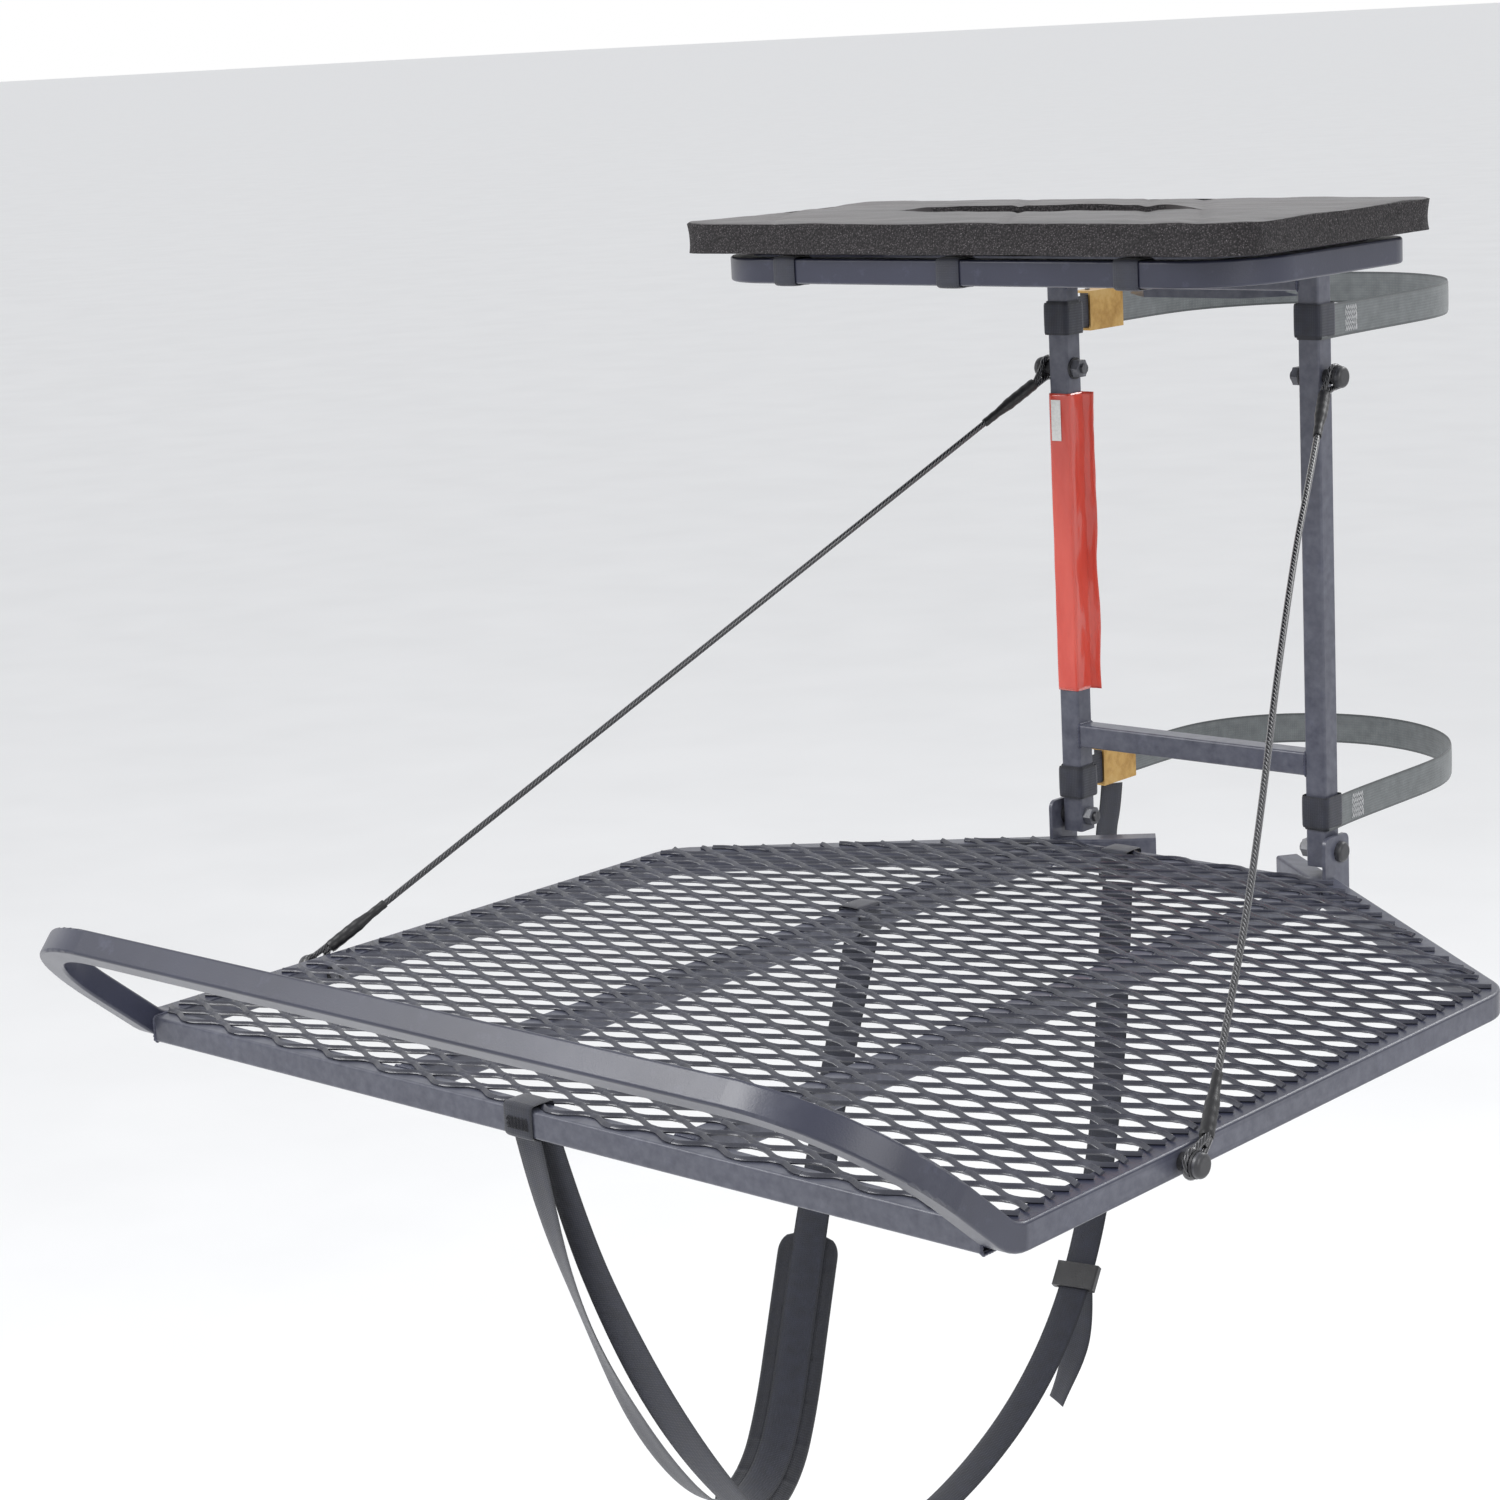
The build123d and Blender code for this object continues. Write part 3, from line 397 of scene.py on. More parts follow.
def paper(name):
    """The blank label: coated paper with faint fibres."""
    m = Nodes(name)
    m.colour(m.ramp(m.noise(500.0, 4.0), [(0.3, (0.72, 0.72, 0.70)), (0.7, (0.86, 0.86, 0.84))]))
    m.rough(m.spread(m.noise(300.0), 0.35, 0.6))
    m.bump(m.noise(900.0), 0.1, 0.0002)
    return m.material


label_paper = paper("label_white_detail")


def weld_metal(name):
    """Painted weld bead."""
    m = Nodes(name)
    m.colour(m.ramp(m.noise(200.0, 4.0), [(0.3, (0.035, 0.037, 0.060)), (0.7, (0.07, 0.075, 0.115))]))
    m.rough(m.spread(m.noise(250.0), 0.25, 0.42))
    m.bump(m.noise(700.0, 3.0), 0.35, 0.0006)
    return m.material


weld_coat = weld_metal("weld_coat_detail")

# the CAD nodes that stay take these materials
slot_materials = {
    "frame_coat": frame_coat,
    "mesh_coat": mesh_coat,
    "end_plugs": plug_plastic,
    "bolt_black": bolt_coat,
    "spacer_nylon": washer_plastic,
    "cable_coat": cable_coat,
    "cable_sleeve": shrink_plastic,
    "web_black": web_black,
    "web_grey": web_grey,
    "buckle_plated": buckle_plated,
    "lever_black": lever_coat,
    "slider_plastic": slider_plastic,
    "pad_foam": foam,
    "vinyl_red": vinyl_red,
    "label_white": label_paper,
}
node_slots = {s["node"]: s["material_slot"] for s in frame["record"]["subparts"]}
for node_name, node_object in frame["nodes"].items():
    chosen = slot_materials[node_slots[node_name]]
    node_object.data.materials.clear()
    node_object.data.materials.append(chosen)


# ---------------------------------------------------------------- mesh helpers
def finish_piece(name, verts, faces, body, materials, uvs=None, face_slots=None,
                 replaces=(), smooth_angle=38.0):
    """Makes the object from plain lists, shades it and puts it on its body."""
    mesh = bpy.data.meshes.new(name)
    mesh.from_pydata([tuple(v) for v in verts], [], faces)
    mesh.update()
    for material in materials:
        mesh.materials.append(material)
    if face_slots:
        mesh.polygons.foreach_set("material_index", face_slots)
    if uvs is not None:
        layer = mesh.uv_layers.new(name="UVMap")
        flat = []
        for face_uv in uvs:
            for uv in face_uv:
                flat.extend(uv)
        layer.data.foreach_set("uv", flat)
    mesh.polygons.foreach_set("use_smooth", [True] * len(mesh.polygons))
    mesh.set_sharp_from_angle(angle=math.radians(smooth_angle))
    piece = bpy.data.objects.new(name, mesh)
    bpy.context.scene.collection.objects.link(piece)
    if body:
        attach(piece, body)
    if replaces:
        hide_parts(*replaces)
    return piece


def curve_points(controls, count, closed=False):
    """Evenly spaced points on a smooth spline through the neighbourhood of the controls."""
    data = bpy.data.curves.new("guide", "CURVE")
    data.dimensions = "3D"
    data.resolution_u = 16
    spline = data.splines.new("NURBS")
    spline.points.add(len(controls) - 1)
    for point, place in zip(spline.points, controls):
        point.co = (*place, 1)
    spline.order_u = 3
    spline.use_endpoint_u = not closed
    spline.use_cyclic_u = closed
    guide = bpy.data.objects.new("guide", data)
    bpy.context.scene.collection.objects.link(guide)
    bpy.context.view_layer.update()
    line = bpy.data.meshes.new_from_object(guide)
    raw = [v.co.copy() for v in line.vertices]
    bpy.data.objects.remove(guide)
    bpy.data.meshes.remove(line)
    bpy.data.curves.remove(data)
    return even(raw, count)


def even(raw, count):
    """The same line with evenly spaced points."""
    lengths = [0.0]
    for a, b in zip(raw, raw[1:]):
        lengths.append(lengths[-1] + (b - a).length)
    out = []
    k = 0
    for i in range(count):
        want = lengths[-1] * i / (count - 1)
        while k < len(raw) - 2 and lengths[k + 1] < want:
            k += 1
        span = max(lengths[k + 1] - lengths[k], 1e-12)
        out.append(raw[k].lerp(raw[k + 1], (want - lengths[k]) / span))
    return out


def tangents(path, closed=False):
    out = []
    n = len(path)
    for i in range(n):
        if closed:
            d = path[(i + 1) % n] - path[i - 1]
        else:
            d = path[min(i + 1, n - 1)] - path[max(i - 1, 0)]
        out.append(d.normalized())
    return out


def carried(path, start, closed=False):
    """A direction carried along the path without twisting."""
    out = []
    current = Vector(start)
    for t in tangents(path, closed):
        current = (current - t * current.dot(t)).normalized()
        out.append(current.copy())
    return out


def ribbon(name, path, across, width, thickness, body, material, replaces=(),
           closed=False, lift=0.0, curl=0.0):
    """A flat strap: rounded selvedges, its wide side along across, optionally curled."""
    edge = thickness * 0.45
    section = []
    for sy, ring in ((1, (-1, -0.86, -0.4, 0.0, 0.4, 0.86, 1)), (-1, (0.86, 0.4, 0.0, -0.4, -0.86))):
        for s in ring:
            x = s * width / 2
            at_edge = abs(s) == 1
            y = 0.0 if at_edge else sy * (thickness / 2 - (edge * 0.25 if abs(s) == 0.86 else 0))
            y += curl * (s * s)
            section.append((x, y))
    ts = tangents(path, closed)
    verts = []
    lengths = [0.0]
    for a, b in zip(path, path[1:] + ([path[0]] if closed else [])):
        lengths.append(lengths[-1] + (b - a).length)
    for p, t, w in zip(path, ts, across):
        n = t.cross(w).normalized()
        for x, y in section:
            verts.append(p + w * x + n * (y + lift))
    m = len(section)
    faces, uvs = [], []
    rows = len(path) if closed else len(path) - 1
    for i in range(rows):
        j = (i + 1) % len(path)
        for k in range(m):
            l = (k + 1) % m
            faces.append((i * m + k, i * m + l, j * m + l, j * m + k))
            uvs.append(
                ((lengths[i], section[k][0]), (lengths[i], section[l][0]),
                 (lengths[i + 1], section[l][0]), (lengths[i + 1], section[k][0]))
            )
    if not closed:
        faces.append(tuple(range(m))[::-1])
        uvs.append([(0, section[k][0]) for k in range(m)][::-1])
        last = (len(path) - 1) * m
        faces.append(tuple(last + k for k in range(m)))
        uvs.append([(lengths[-2], section[k][0]) for k in range(m)])
    return finish_piece(name, verts, faces, body, [material], uvs, None, replaces)


def tube_piece(name, path, radius, body, material, replaces=(), closed=False,
               segments=12, radii=None, start=(0, 0, 1)):
    """A round tube along a path, with UVs in metres along and turns around."""
    ts = tangents(path, closed)
    ups = carried(path, start, closed)
    verts = []
    for i, (p, t, w) in enumerate(zip(path, ts, ups)):
        n = t.cross(w).normalized()
        r = radii[i] if radii else radius
        for k in range(segments):
            a = 2 * math.pi * k / segments
            verts.append(p + (w * math.cos(a) + n * math.sin(a)) * r)
    lengths = [0.0]
    for a, b in zip(path, path[1:] + ([path[0]] if closed else [])):
        lengths.append(lengths[-1] + (b - a).length)
    faces, uvs = [], []
    rows = len(path) if closed else len(path) - 1
    for i in range(rows):
        j = (i + 1) % len(path)
        for k in range(segments):
            l = (k + 1) % segments
            faces.append((i * segments + k, i * segments + l, j * segments + l, j * segments + k))
            v0, v1 = k / segments, (k + 1) / segments
            uvs.append(((lengths[i], v0), (lengths[i], v1), (lengths[i + 1], v1), (lengths[i + 1], v0)))
    if not closed:
        faces.append(tuple(range(segments))[::-1])
        uvs.append([(0.0, 0.0)] * segments)
        last = (len(path) - 1) * segments
        faces.append(tuple(last + k for k in range(segments)))
        uvs.append([(0.0, 0.0)] * segments)
    return finish_piece(name, verts, faces, body, [material], uvs, None, replaces,
                        smooth_angle=60.0)


# ---------------------------------------------------------------- expanded metal deck
LONG, SHORT = 50.8 * MM, 23.4 * MM
STRAND, STRAND_T = 3.5 * MM, 1.7 * MM
first_row = deck_high.y - 3.4 * MM * 1.05 - (SHORT / 2 - 3.4 * MM * 0.6)
corner_y = -240 * MM
tip_x, tip_y = 62 * MM, -7 * MM


def deck_margin(x, y):
    """How far inside the deck's edge a point is; negative outside."""
    slope = (tip_y - corner_y) / (side_x - tip_x)
    taper = (corner_y + slope * (side_x - abs(x)) - y) / math.hypot(1, slope)
    sides = side_x - abs(x)
    bend = 1.0
    if y < front_y + half + 2 * MM:
        bend = side_x - half - 2 * MM - abs(x)
    return min(taper, sides, y - deck_low.y, deck_high.y - y, bend)


def make_deck():
    verts, faces = [], []
    columns = int(side_x / (LONG / 2)) + 3
    rows = int(abs(deck_low.y) / (SHORT / 2)) + 4
    ease = 5.0 * MM
    spread = 1.55 * MM
    base_z = deck_low.z + 1.3 * MM
    for col in range(-columns, columns):
        for row in range(-4, rows):
            if (col + row) % 2 == 0:
                continue
            x0 = col * LONG / 2
            y0 = first_row - row * SHORT / 2
            for way in (1, -1):
                dx, dy = way * LONG / 2, SHORT / 2
                raw = [
                    Vector((x0, y0 + spread)),
                    Vector((x0 + way * ease, y0 + spread + 0.5 * MM)),
                    Vector((x0 + dx * 0.36, y0 + dy * 0.33)),
                    Vector((x0 + dx * 0.64, y0 + dy * 0.67)),
                    Vector((x0 + dx - way * ease, y0 + dy - spread - 0.5 * MM)),
                    Vector((x0 + dx, y0 + dy - spread)),
                ]
                margins = [deck_margin(p.x, p.y) for p in raw]
                if max(margins) < 0:
                    continue
                kept = []
                for i, (p, g) in enumerate(zip(raw, margins)):
                    if g >= 0:
                        kept.append(p)
                    if i + 1 < len(raw) and (g < 0) != (margins[i + 1] < 0):
                        share = g / (g - margins[i + 1])
                        kept.append(p.lerp(raw[i + 1], share))
                if len(kept) < 2 or (kept[-1] - kept[0]).length < 2.5 * MM:
                    continue
                start = len(verts)
                n = len(kept)
                jig = random.uniform(-0.15, 0.15) * MM
                for i, p in enumerate(kept):
                    a = kept[max(i - 1, 0)]
                    b = kept[min(i + 1, n - 1)]
                    t = (b - a).normalized()
                    side = Vector((-t.y, t.x)) * way
                    mid = abs((p.y - y0) / dy - 0.5) * 2
                    tilt = math.radians(38.0 - 14.0 * mid)
                    w = Vector((side.x * math.cos(tilt), side.y * math.cos(tilt), math.sin(tilt)))
                    d = Vector((-side.x * math.sin(tilt), -side.y * math.sin(tilt), math.cos(tilt)))
                    c = Vector((p.x, p.y, base_z + jig))
                    hw, ht = STRAND / 2, STRAND_T / 2
                    bevel = 0.28
                    for sx, sy in ((-1, -1 + bevel), (-1 + bevel, -1), (1 - bevel, -1), (1, -1 + bevel),
                                   (1, 1 - bevel), (1 - bevel, 1), (-1 + bevel, 1), (-1, 1 - bevel)):
                        verts.append(c + w * (hw * sx) + d * (ht * sy))
                for i in range(n - 1):
                    for k in range(8):
                        l = (k + 1) % 8
                        a = start + i * 8
                        f = (a + k, a + l, a + 8 + l, a + 8 + k)
                        faces.append(f if way > 0 else f[::-1])
                ends = tuple(start + k for k in range(8))
                tail = tuple(start + (n - 1) * 8 + k for k in range(8))
                faces.append(ends[::-1] if way > 0 else ends)
                faces.append(tail if way > 0 else tail[::-1])
    return finish_piece("deck_strands", verts, faces, "platform", [mesh_coat],
                        None, None, ["deck_mesh"], 30.0)


make_deck()

# ---------------------------------------------------------------- seat pad
def make_pad():
    """A foam slab: crowned, creased skin on top, cut foam round its sides, a lens-shaped hand slit."""
    around = 220
    centre = (pad_low + pad_high) / 2
    hx, hy = (pad_high.x - pad_low.x) / 2, (pad_high.y - pad_low.y) / 2
    corner = 22 * MM
    bottom, top = pad_low.z, pad_high.z

    def outer(a):
        """Rounded rectangle, found by pushing a ray out from the middle."""
        dx, dy = math.cos(a), math.sin(a)
        lo, hi = 0.0, 2 * hx
        for _ in range(40):
            mid = (lo + hi) / 2
            x, y = abs(dx * mid), abs(dy * mid)
            qx, qy = max(x - hx + corner, 0), max(y - hy + corner, 0)
            inside = math.hypot(qx, qy) < corner and x < hx and y < hy
            lo, hi = (mid, hi) if inside else (lo, mid)
        return Vector((dx * lo, dy * lo))

    def slit(a):
        """The lens-shaped slit, pointed at both ends, fuller at the back."""
        x = math.cos(a) * 104 * MM
        share = max(0.0, 1 - (x / (104 * MM)) ** 2)
        depth = 8.5 if math.sin(a) > 0 else 6.0
        return Vector((x, math.copysign(depth * MM * share, math.sin(a))))

    angles = [2 * math.pi * k / around for k in range(around)]
    rings = 34
    outers = [outer(math.atan2(math.sin(a) * 0.55, math.cos(a))) for a in angles]
    slits = [slit(a) for a in angles]
    soft = 3.0 * MM

    def crown(p, r):
        u = Vector((p.x + centre.x, p.y + centre.y, 0))
        from_edge = min(hx - abs(p.x), hy - abs(p.y))
        sink = -1.2 * MM * math.exp(-max(from_edge, 0) / (10 * MM))
        crease = noise.noise(Vector((u.x * 14, u.y * 30, 3.1))) * 1.1 * MM
        crease += noise.noise(Vector((u.x * 45, u.y * 60, 7.7))) * 0.45 * MM
        fold = noise.noise(Vector((u.x * 9 + u.y * 6, 0.3, 1.0)))
        crease += -1.3 * MM * math.exp(-((fold - 0.05) / 0.05) ** 2)
        lip = 0.0
        near = r * 90 * MM
        if r < 0.3:
            lip = (2.6 if p.y > 0 else -0.8) * MM * math.exp(-(near / (12 * MM)) ** 2)
        return sink + crease + lip

    def wall(p, z, seed):
        """A small uneven push in or out where the foam was cut."""
        direction = p.normalized()
        push = noise.noise(Vector((p.x * 22, p.y * 22, z * 60 + seed))) * 0.9 * MM
        return p + direction * push

    profile = []
    for k in range(3):
        z = bottom + (top - bottom - soft) * k / 3
        profile.append([(s.x, s.y, z, 1) for s in slits])
    for k in range(rings + 1):
        r = (k / rings)
        ring = []
        for s, o in zip(slits, outers):
            p = s.lerp(o * (1 - soft / hx), r)
            ring.append((p.x, p.y, top - 1.6 * MM + crown(p, r), 0))
        profile.append(ring)
    ring = []
    for o in outers:
        p = wall(o * (1 - 0.6 * soft / hx), top, 0)
        ring.append((p.x, p.y, top - 1.9 * MM + crown(p, 1.0) * 0.8, 0))
    profile.append(ring)
    steps = 7
    for k in range(steps + 1):
        z = top - soft - (top - bottom - soft - 1.0 * MM) * k / steps
        bow = 1.6 * MM * math.sin(math.pi * (k + 0.3) / (steps + 1))
        ring = []
        for o in outers:
            p = wall(o, z, 4.0)
            q = p - p.normalized() * bow
            ring.append((q.x, q.y, z + noise.noise(Vector((q.x * 20, q.y * 20, 9))) * 0.6 * MM, 1))
        profile.append(ring)
    for k in range(1, 9):
        ring = []
        for s, o in zip(slits, outers):
            p = (o * (1 - soft / hx)).lerp(s, k / 9)
            ring.append((p.x, p.y, bottom + 0.2 * MM, 1))
        profile.append(ring)
    verts, faces, uvs, slots = [], [], [], []
    for ring in profile:
        for x, y, z, _ in ring:
            verts.append((x + centre.x, y + centre.y, z))
    total = len(profile)
    for i in range(total):
        j = (i + 1) % total
        for k in range(around):
            l = (k + 1) % around
            f = (i * around + k, i * around + l, j * around + l, j * around + k)
            faces.append(f)
            uvs.append([(verts[v][0], verts[v][1]) for v in f])
            slots.append(1 if profile[i][0][3] or profile[j][0][3] else 0)
    piece = finish_piece("seat_cushion", verts, faces, "seat", [skin, foam], uvs, slots,
                         ["seat_pad"], 50.0)
    return piece


seat_cushion = make_pad()


# ---------------------------------------------------------------- closed webbing loops
PLANE_AXIS = {"XY": (0, 0, 1), "YZ": (1, 0, 0), "XZ": (0, 1, 0)}


def in_plane_point(centre, plane, a, b):
    """A point a and b away from centre in the named plane."""
    return centre + Vector({"XY": (a, b, 0), "YZ": (0, a, b), "XZ": (a, 0, b)}[plane])


def rounded_loop(hx, hy, radius, step=1.2 * MM):
    """Points of a rounded rectangle in a plane, evenly spaced, anticlockwise."""
    raw = []
    for cx, cy, a0 in ((hx - radius, hy - radius, 0), (-hx + radius, hy - radius, 90),
                       (-hx + radius, -hy + radius, 180), (hx - radius, -hy + radius, 270)):
        for k in range(7):
            a = math.radians(a0 + 15 * k)
            raw.append(Vector((cx + radius * math.cos(a), cy + radius * math.sin(a), 0)))
    raw.append(raw[0].copy())
    count = int(sum((b - a).length for a, b in zip(raw, raw[1:])) / step)
    return even(raw, count)[:-1]


def loop_ribbon(name, centre, plane, hx, hy, width, thickness, body, material,
                replaces=(), slack=0.25):
    """A sewn loop of webbing round a tube; its plane is XY, YZ or XZ."""
    path = []
    for p in rounded_loop(hx, hy, 2.6 * MM):
        loose = 1 + slack * MM * noise.noise(p * 160) / hx
        path.append(in_plane_point(centre, plane, p.x * loose, p.y * loose))
    return ribbon(name, path, [Vector(PLANE_AXIS[plane])] * len(path), width, thickness, body,
                  material, replaces, closed=True)


def bar_tack(name, centre, along, across, normal, length, width, body, material):
    """A block of zigzag stitches standing just proud of the webbing."""
    rows = 5
    thread = 0.33 * MM
    pieces = []
    path = []
    for row in range(rows):
        steps = 12
        for k in range(steps + 1):
            s = k / steps if row % 2 == 0 else 1 - k / steps
            zig = (0.5 if k % 2 else -0.5) * width / rows * 0.9
            offset = (row + 0.5) / rows - 0.5
            path.append(centre + along * ((s - 0.5) * length) + across * (offset * width + zig)
                        + normal * (thread * (0.6 + 0.5 * (k % 2))))
    pieces.append(tube_piece(name, path, thread, body, material, segments=5,
                             start=tuple(normal)))
    return pieces


WEB, WEB_T = 25 * MM, 1.5 * MM
wrap_half = half + 1.0 * MM
tree_radius = 122.75 * MM
tree_y = 105.07 * MM
for level in ("upper", "lower"):
    low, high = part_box(f"{level}_strap_long_end")
    z = (low.z + high.z) / 2
    # the right post's black wrap, two layers, and the grey strap sewn to it
    right_post = Vector((post_x, post_y, z))
    left_post = Vector((-post_x, post_y, z))
    loop_ribbon(f"{level}_right_wrap", right_post, "XY", wrap_half, wrap_half, WEB, WEB_T,
                       "post_frame", web_black)
    loop_ribbon(f"{level}_right_wrap_outer", right_post + mm(0, 0, 1.5), "XY", wrap_half + 1.3 * MM,
                wrap_half + 1.3 * MM, WEB * 0.98, 1.1 * MM, "post_frame", web_black)
    controls = [
        Vector((post_x + wrap_half + 0.8 * MM, post_y - 8 * MM, z)),
        Vector((post_x + wrap_half + 0.8 * MM, post_y + 2 * MM, z)),
        Vector((tree_radius + 0.6 * MM, post_y + 22 * MM, z)),
        Vector((tree_radius, post_y + 48 * MM, z)),
        Vector((tree_radius, 60 * MM, z)),
    ]
    for k in range(0, 13):
        a = math.radians(15 * k)
        controls.append(Vector((tree_radius * math.cos(a), tree_y + tree_radius * math.sin(a), z)))
    controls += [Vector((-tree_radius, 60 * MM, z)), Vector((-tree_radius, 17 * MM, z))]
    path = curve_points(controls, 260)
    ribbon(f"{level}_tree_strap", path, [Vector((0, 0, 1))] * len(path), WEB, WEB_T, "post_frame",
           web_grey, [f"{level}_strap_long_end"])
    spot = Vector((tree_radius + 1.1 * MM, post_y + 34 * MM, z))
    bar_tack(f"{level}_bar_tack", spot, Vector((0, 1, 0)), Vector((0, 0, 1)), Vector((1, 0, 0)),
             15 * MM, 19 * MM, "post_frame", white_thread)
    # the left post's black wrap and its run into the buckle
    loop_ribbon(f"{level}_left_wrap", left_post, "XY", wrap_half, wrap_half, WEB, WEB_T,
                "post_frame", web_black)
    loop_ribbon(f"{level}_left_wrap_outer", left_post + mm(0, 0, -1.2), "XY", wrap_half + 1.3 * MM,
                wrap_half + 1.3 * MM, WEB * 0.98, 1.1 * MM, "post_frame", web_black)
    run = [
        Vector((-post_x - wrap_half - 0.8 * MM, post_y - 6 * MM, z)),
        Vector((-post_x - wrap_half - 0.8 * MM, post_y + 4 * MM, z)),
        Vector((-tree_radius, post_y + 20 * MM, z)),
        Vector((-tree_radius, post_y + 36 * MM, z)),
        Vector((-tree_radius, 12 * MM, z)),
    ]
    path = curve_points(run, 40)
    ribbon(f"{level}_buckle_strap", path, [Vector((0, 0, 1))] * len(path), WEB, WEB_T,
           "post_frame", web_black, [f"{level}_strap_short_end"])
    bar_tack(f"{level}_left_tack", Vector((-tree_radius - 1.1 * MM, post_y + 28 * MM, z)),
             Vector((0, 1, 0)), Vector((0, 0, 1)), Vector((-1, 0, 0)), 9 * MM, 19 * MM,
             "post_frame", black_thread)

tail_low, tail_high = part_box("lower_strap_tail")
tail_x = (tail_low.x + tail_high.x) / 2
tail_path = curve_points([
    Vector((tail_x, 20.5 * MM, tail_high.z)),
    Vector((tail_x - 1.0 * MM, 19.0 * MM, tail_high.z - 20 * MM)),
    Vector((tail_x - 3.5 * MM, 15.0 * MM, 0)),
    Vector((tail_x - 1.5 * MM, 12.5 * MM, -24 * MM)),
    Vector((tail_x + 1.0 * MM, 13.5 * MM, tail_low.z)),
], 50)
ribbon("lower_strap_loose_end", tail_path, carried(tail_path, (0.15, 1, 0)), WEB, WEB_T,
       "post_frame", web_black, ["lower_strap_tail"], curl=0.8 * MM)

# ---------------------------------------------------------------- shoulder straps
left_route = [mm(*p) for p in (
    (-3, -768, -13), (-4, -754, -76), (-5, -731, -141), (-7, -700, -206), (-11, -662, -267),
    (-19, -615, -320), (-32, -563, -349), (-51, -510, -344), (-74, -466, -317), (-95, -426, -271),
    (-110, -390, -213), (-120, -357, -149), (-125, -327, -84), (-125, -300, -14))]
right_route = [mm(*p) for p in (
    (6, -760, -13), (9, -743, -80), (12, -717, -148), (14, -685, -214), (15, -645, -277),
    (14, -598, -334), (11, -544, -380), (6, -478, -406), (0, -405, -411), (-6, -331, -396),
    (-13, -262, -369), (-21, -202, -328), (-30, -156, -275), (-38, -124, -214), (-45, -101, -149),
    (-51, -84, -82), (-55, -70, -14))]
tail_route = [mm(*p) for p in (
    (-25.5, -174.8, -305.2), (-28, -171, -340), (-33, -177, -375), (-40, -190, -405))]


def twisted(path, start, turns):
    """Directions carried along the path and turned about it by an angle that eases in and out."""
    ways = carried(path, start)
    out = []
    for i, (w, t) in enumerate(zip(ways, tangents(path))):
        share = i / (len(path) - 1)
        angle = 0.0
        for middle, spread, amount in turns:
            angle += math.radians(amount) * math.exp(-((share - middle) / spread) ** 2)
        out.append(Matrix.Rotation(angle, 3, t) @ w)
    return out


def hanging_strap(name, route, turns, replaces, count=220):
    path = curve_points(route, count)
    strap = ribbon(name, path, twisted(path, (1, 0, 0), turns), WEB, 1.7 * MM, "platform",
                   web_black, replaces, curl=0.9 * MM)
    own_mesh(strap)


hanging_strap("left_carry_strap", left_route, [(0.16, 0.1, 26), (0.85, 0.12, -18)],
              ["left_shoulder_strap"])
hanging_strap("right_carry_strap", right_route, [(0.2, 0.12, -22), (0.93, 0.05, 24)],
              ["right_shoulder_strap"], 280)
hanging_strap("slider_loose_end", tail_route, [(1.0, 0.4, 30)], ["shoulder_strap_tail"], 40)

# the slider threaded on the strap, copied from its CAD node as a mesh of its own on its own body
bpy.context.view_layer.update()
slider_node = frame["nodes"]["shoulder_strap_slider"]
strap_slider = finish_piece(
    "strap_slider_plate",
    [slider_node.matrix_world @ v.co for v in slider_node.data.vertices],
    [tuple(p.vertices) for p in slider_node.data.polygons],
    "strap_slider", [slider_plastic], replaces=["shoulder_strap_slider"])
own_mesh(strap_slider)


def make_shoulder_pad():
    """A quilted foam pad sewn under the left strap, tapered at both ends, with bound edges."""
    path = curve_points(left_route, 440)
    length = sum((b - a).length for a, b in zip(path, path[1:]))
    first, last = int(440 * 0.462), int(440 * 0.745)
    piece = path[first:last]
    ways = carried(path, (1, 0, 0))[first:last]
    ts = tangents(piece)
    verts, faces, uvs = [], [], []
    around = 28
    run = 0.0
    runs = []
    for i, (p, t, w) in enumerate(zip(piece, ts, ways)):
        if i:
            run += (p - piece[i - 1]).length
        runs.append(run)
        share = i / (len(piece) - 1)
        end = min(1.0, min(share, 1 - share) / 0.06)
        end = math.sqrt(max(0.0, 1 - (1 - end) ** 2))
        quilt = 1 - 0.22 * math.exp(-(((run * 1000) % 34 - 17) / 2.2) ** 2)
        n = t.cross(w).normalized()
        for k in range(around):
            a = 2 * math.pi * k / around
            c, s = math.cos(a), math.sin(a)
            x = math.copysign(abs(c) ** 0.45, c) * 22.5 * MM * (0.55 + 0.45 * end)
            y = math.copysign(abs(s) ** 0.7, s) * 3.9 * MM * (0.35 + 0.65 * end) * quilt
            y *= 1 - 0.25 * math.exp(-((abs(x) - 18 * MM) / (1.5 * MM)) ** 2)
            verts.append(p + w * x + n * (y + 5.6 * MM))
    for i in range(len(piece) - 1):
        for k in range(around):
            l = (k + 1) % around
            faces.append((i * around + k, i * around + l, (i + 1) * around + l, (i + 1) * around + k))
            v = [math.cos(2 * math.pi * q / around) * 0.0225 for q in (k, k + 1)]
            uvs.append(((runs[i], v[0]), (runs[i], v[1]), (runs[i + 1], v[1]), (runs[i + 1], v[0])))
    faces.append(tuple(range(around))[::-1])
    uvs.append([(0.0, 0.0)] * around)
    base = (len(piece) - 1) * around
    faces.append(tuple(base + k for k in range(around)))
    uvs.append([(0.0, 0.0)] * around)
    return finish_piece("carry_strap_pad", verts, faces, "platform", [web_pad], uvs,
                        None, ["left_shoulder_pad"], 50.0)


web_pad = webbing("web_pad_detail", (0.012, 0.013, 0.02), (0.024, 0.026, 0.04), (0.006, 0.007, 0.01),
                  1.0 / 0.0022, 0.046)
carry_pad = make_shoulder_pad()
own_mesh(carry_pad)

